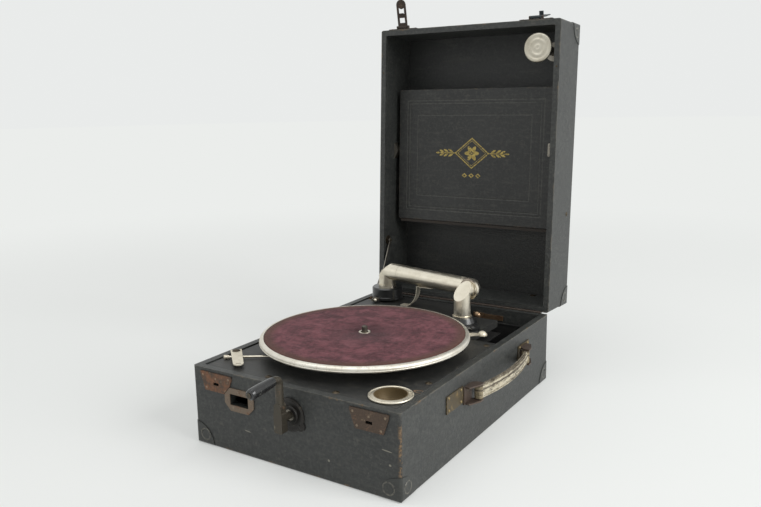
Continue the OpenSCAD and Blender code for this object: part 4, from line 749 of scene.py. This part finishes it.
def speed_nuts():
    """The two knurled nuts that set the length of the speed rod."""
    bm = bmesh.new()
    # The stud on the speed lever, and the rod's direction away from it
    stud = Vector((-111.846, -155.843, 96.4))
    along = Vector((0.84192, 0.5396, 0))
    turn = along.to_track_quat("Z", "Y").to_matrix().to_4x4()
    for back, radius, depth in ((14.0, 2.6, 2.4), (10.6, 2.3, 2.0)):
        before = set(bm.faces)
        at = Matrix.Translation(stud - along * back) @ turn
        bmesh.ops.create_cone(bm, cap_ends=True, segments=26, radius1=radius, radius2=radius,
                              depth=depth, matrix=at)
        fresh = [f for f in bm.faces if f not in before]
        knurls = [f for f in fresh if len(f.verts) == 4][::2]
        ends = [f for f in fresh if len(f.verts) > 4]
        bmesh.ops.inset_individual(bm, faces=knurls, thickness=0.04, depth=0.16)
        bmesh.ops.inset_individual(bm, faces=ends, thickness=0.5, depth=0.2)
    return piece("speed_nuts", bm, "rod", nickel, (), False)


def bend_covers():
    """The covers of the arm's bends: a shallow dome by the column, a flat oval above the sound box."""
    turn = Matrix.Rotation(ARM_TURN, 3, "Z")
    height = 8.5
    wall = 0.8
    angles = [math.pi / 2 * i / 12 for i in range(13)]
    outer = [(ARM_R * math.sin(a), height * math.cos(a)) for a in angles]
    inner = [((ARM_R - wall) * math.sin(a), (height - wall) * math.cos(a)) for a in reversed(angles)]
    flat = [(0, 0.8), (ARM_R - 0.4, 0.8), (ARM_R, 0.5), (ARM_R, -0.1), (0, -0.1)]
    bends = (("tube_bend_cover", "arm", outer + inner, (0, ARM_SIDE, 0), (1, 1, 0), (1, -1, 0)),
             ("neck_bend_cover", "soundbox", flat, (-ARM_LONG, ARM_SIDE, 0), (-1, 0, 1), (1, 0, 1)))
    for name, body, profile, spot, outward, slope in bends:
        out = (turn @ Vector(outward)).normalized()
        along = (turn @ Vector(slope)).normalized()
        across = out.cross(along)
        shape = Matrix((along * math.sqrt(2), across, out)).transposed().to_4x4()
        bm = bmesh.new()
        lathe(bm, profile, (0, 0, 0), 72, False)
        at = Matrix.Translation(ARM_TOP + turn @ Vector(spot)) @ shape
        bmesh.ops.transform(bm, matrix=at, verts=bm.verts)
        piece(name, bm, body, bright, (), profile is not flat)


strap()
felt_mat()
cup_cap()
record_board()
board_catch()
speed_nuts()
bend_covers()


# Floor, light and camera

def seen_directly(seed):
    """1 for what the camera, a reflection or glass sees, 0 for what lights the object."""
    seen = seed.node("ShaderNodeLightPath", None, None, "Is Camera Ray")
    for ray in ("Is Glossy Ray", "Is Transmission Ray"):
        seen = seen.most(seed.node("ShaderNodeLightPath", None, None, ray))
    return seen


def studio_floor():
    """A pale floor, in metres, that fades into the pale air round it and keeps the object's shadow."""
    bm = bmesh.new()
    bmesh.ops.create_circle(bm, cap_ends=True, segments=64, radius=14)
    mesh = bpy.data.meshes.new("studio_floor")
    bm.to_mesh(mesh)
    bm.free()
    floor = bpy.data.objects.new("studio_floor", mesh)
    bpy.context.scene.collection.objects.link(floor)
    material = bpy.data.materials.new("studio_paint")
    material.use_nodes = True
    material.node_tree.nodes.clear()
    seed = Wire(material.node_tree)
    place = seed.node("ShaderNodeTexCoord", None, None, "Object")
    colour = place.noise(1.2, 3).ramp((0.3, tone("eceeec")), (0.7, tone("f0f1ef")))
    x = place.part(0)
    y = place.part(1)
    away = (x * x + y * y) ** 0.5
    paint = seed.node("ShaderNodeBsdfPrincipled", None, {"Base Color": colour, "Roughness": 0.8})
    glow = seed.node("ShaderNodeEmission", None, {"Color": tone("ebedeb"), "Strength": 1.0})
    share = seen_directly(seed) * (away.ease(0.35, 2.0) * 0.65 + 0.35)
    mixed = seed.node("ShaderNodeMixShader", None, {0: share, 1: paint, 2: glow})
    seed.node("ShaderNodeOutputMaterial", None, {"Surface": mixed})
    mesh.materials.append(material)


def lamp(name, spot, aim, size, power):
    """An area light that faces a point."""
    light = bpy.data.lights.new(name, "AREA")
    light.shape = "RECTANGLE"
    light.size = size[0]
    light.size_y = size[1]
    light.energy = power
    obj = bpy.data.objects.new(name, light)
    bpy.context.scene.collection.objects.link(obj)
    obj.location = spot
    obj.rotation_mode = "QUATERNION"
    obj.rotation_quaternion = (Vector(aim) - Vector(spot)).to_track_quat("-Z", "Y")


def studio_air():
    """Pale where the camera and reflections look past the floor, softer as a light."""
    world = bpy.data.worlds.new("studio_air")
    bpy.context.scene.world = world
    world.use_nodes = True
    world.node_tree.nodes.clear()
    seed = Wire(world.node_tree)
    strength = seen_directly(seed) * 0.4 + 0.44
    shader = seed.node("ShaderNodeBackground", None, {"Color": tone("fcfefd"), "Strength": strength})
    seed.node("ShaderNodeOutputWorld", None, {"Surface": shader})


def camera():
    """The photograph's camera, as fitted to the case's corners and the platter, with its slight roll."""
    data = bpy.data.cameras.new("photo_camera")
    data.sensor_width = 36
    data.lens = 36.1
    data.clip_start = 0.02
    data.clip_end = 60
    obj = bpy.data.objects.new("photo_camera", data)
    bpy.context.scene.collection.objects.link(obj)
    ahead = Vector((-0.5302, 0.8245, -0.1979)).normalized()
    level = Vector((0.8411, 0.5409, 0)).normalized()
    upward = level.cross(ahead)
    roll = math.radians(-1.006)
    right = level * math.cos(roll) + upward * math.sin(roll)
    up = upward * math.cos(roll) - level * math.sin(roll)
    turn = Matrix((right, up, -ahead)).transposed().to_4x4()
    obj.matrix_world = Matrix.Translation(Vector((499.54, -788.32, 392.47)) * MM) @ turn
    bpy.context.scene.camera = obj


studio_floor()
studio_air()
lamp("right_window", (2.7, 0.0, 1.5), (0.1, 0, 0.15), (1.8, 1.8), 70)
lamp("top_sheet", (-0.4, -0.6, 2.6), (0, 0, 0.1), (2.2, 2.2), 20)
lamp("left_fill", (-2.2, -1.6, 1.2), (0, 0, 0.15), (1.6, 1.6), 2.6)
camera()
bpy.context.scene.view_settings.view_transform = "Standard"
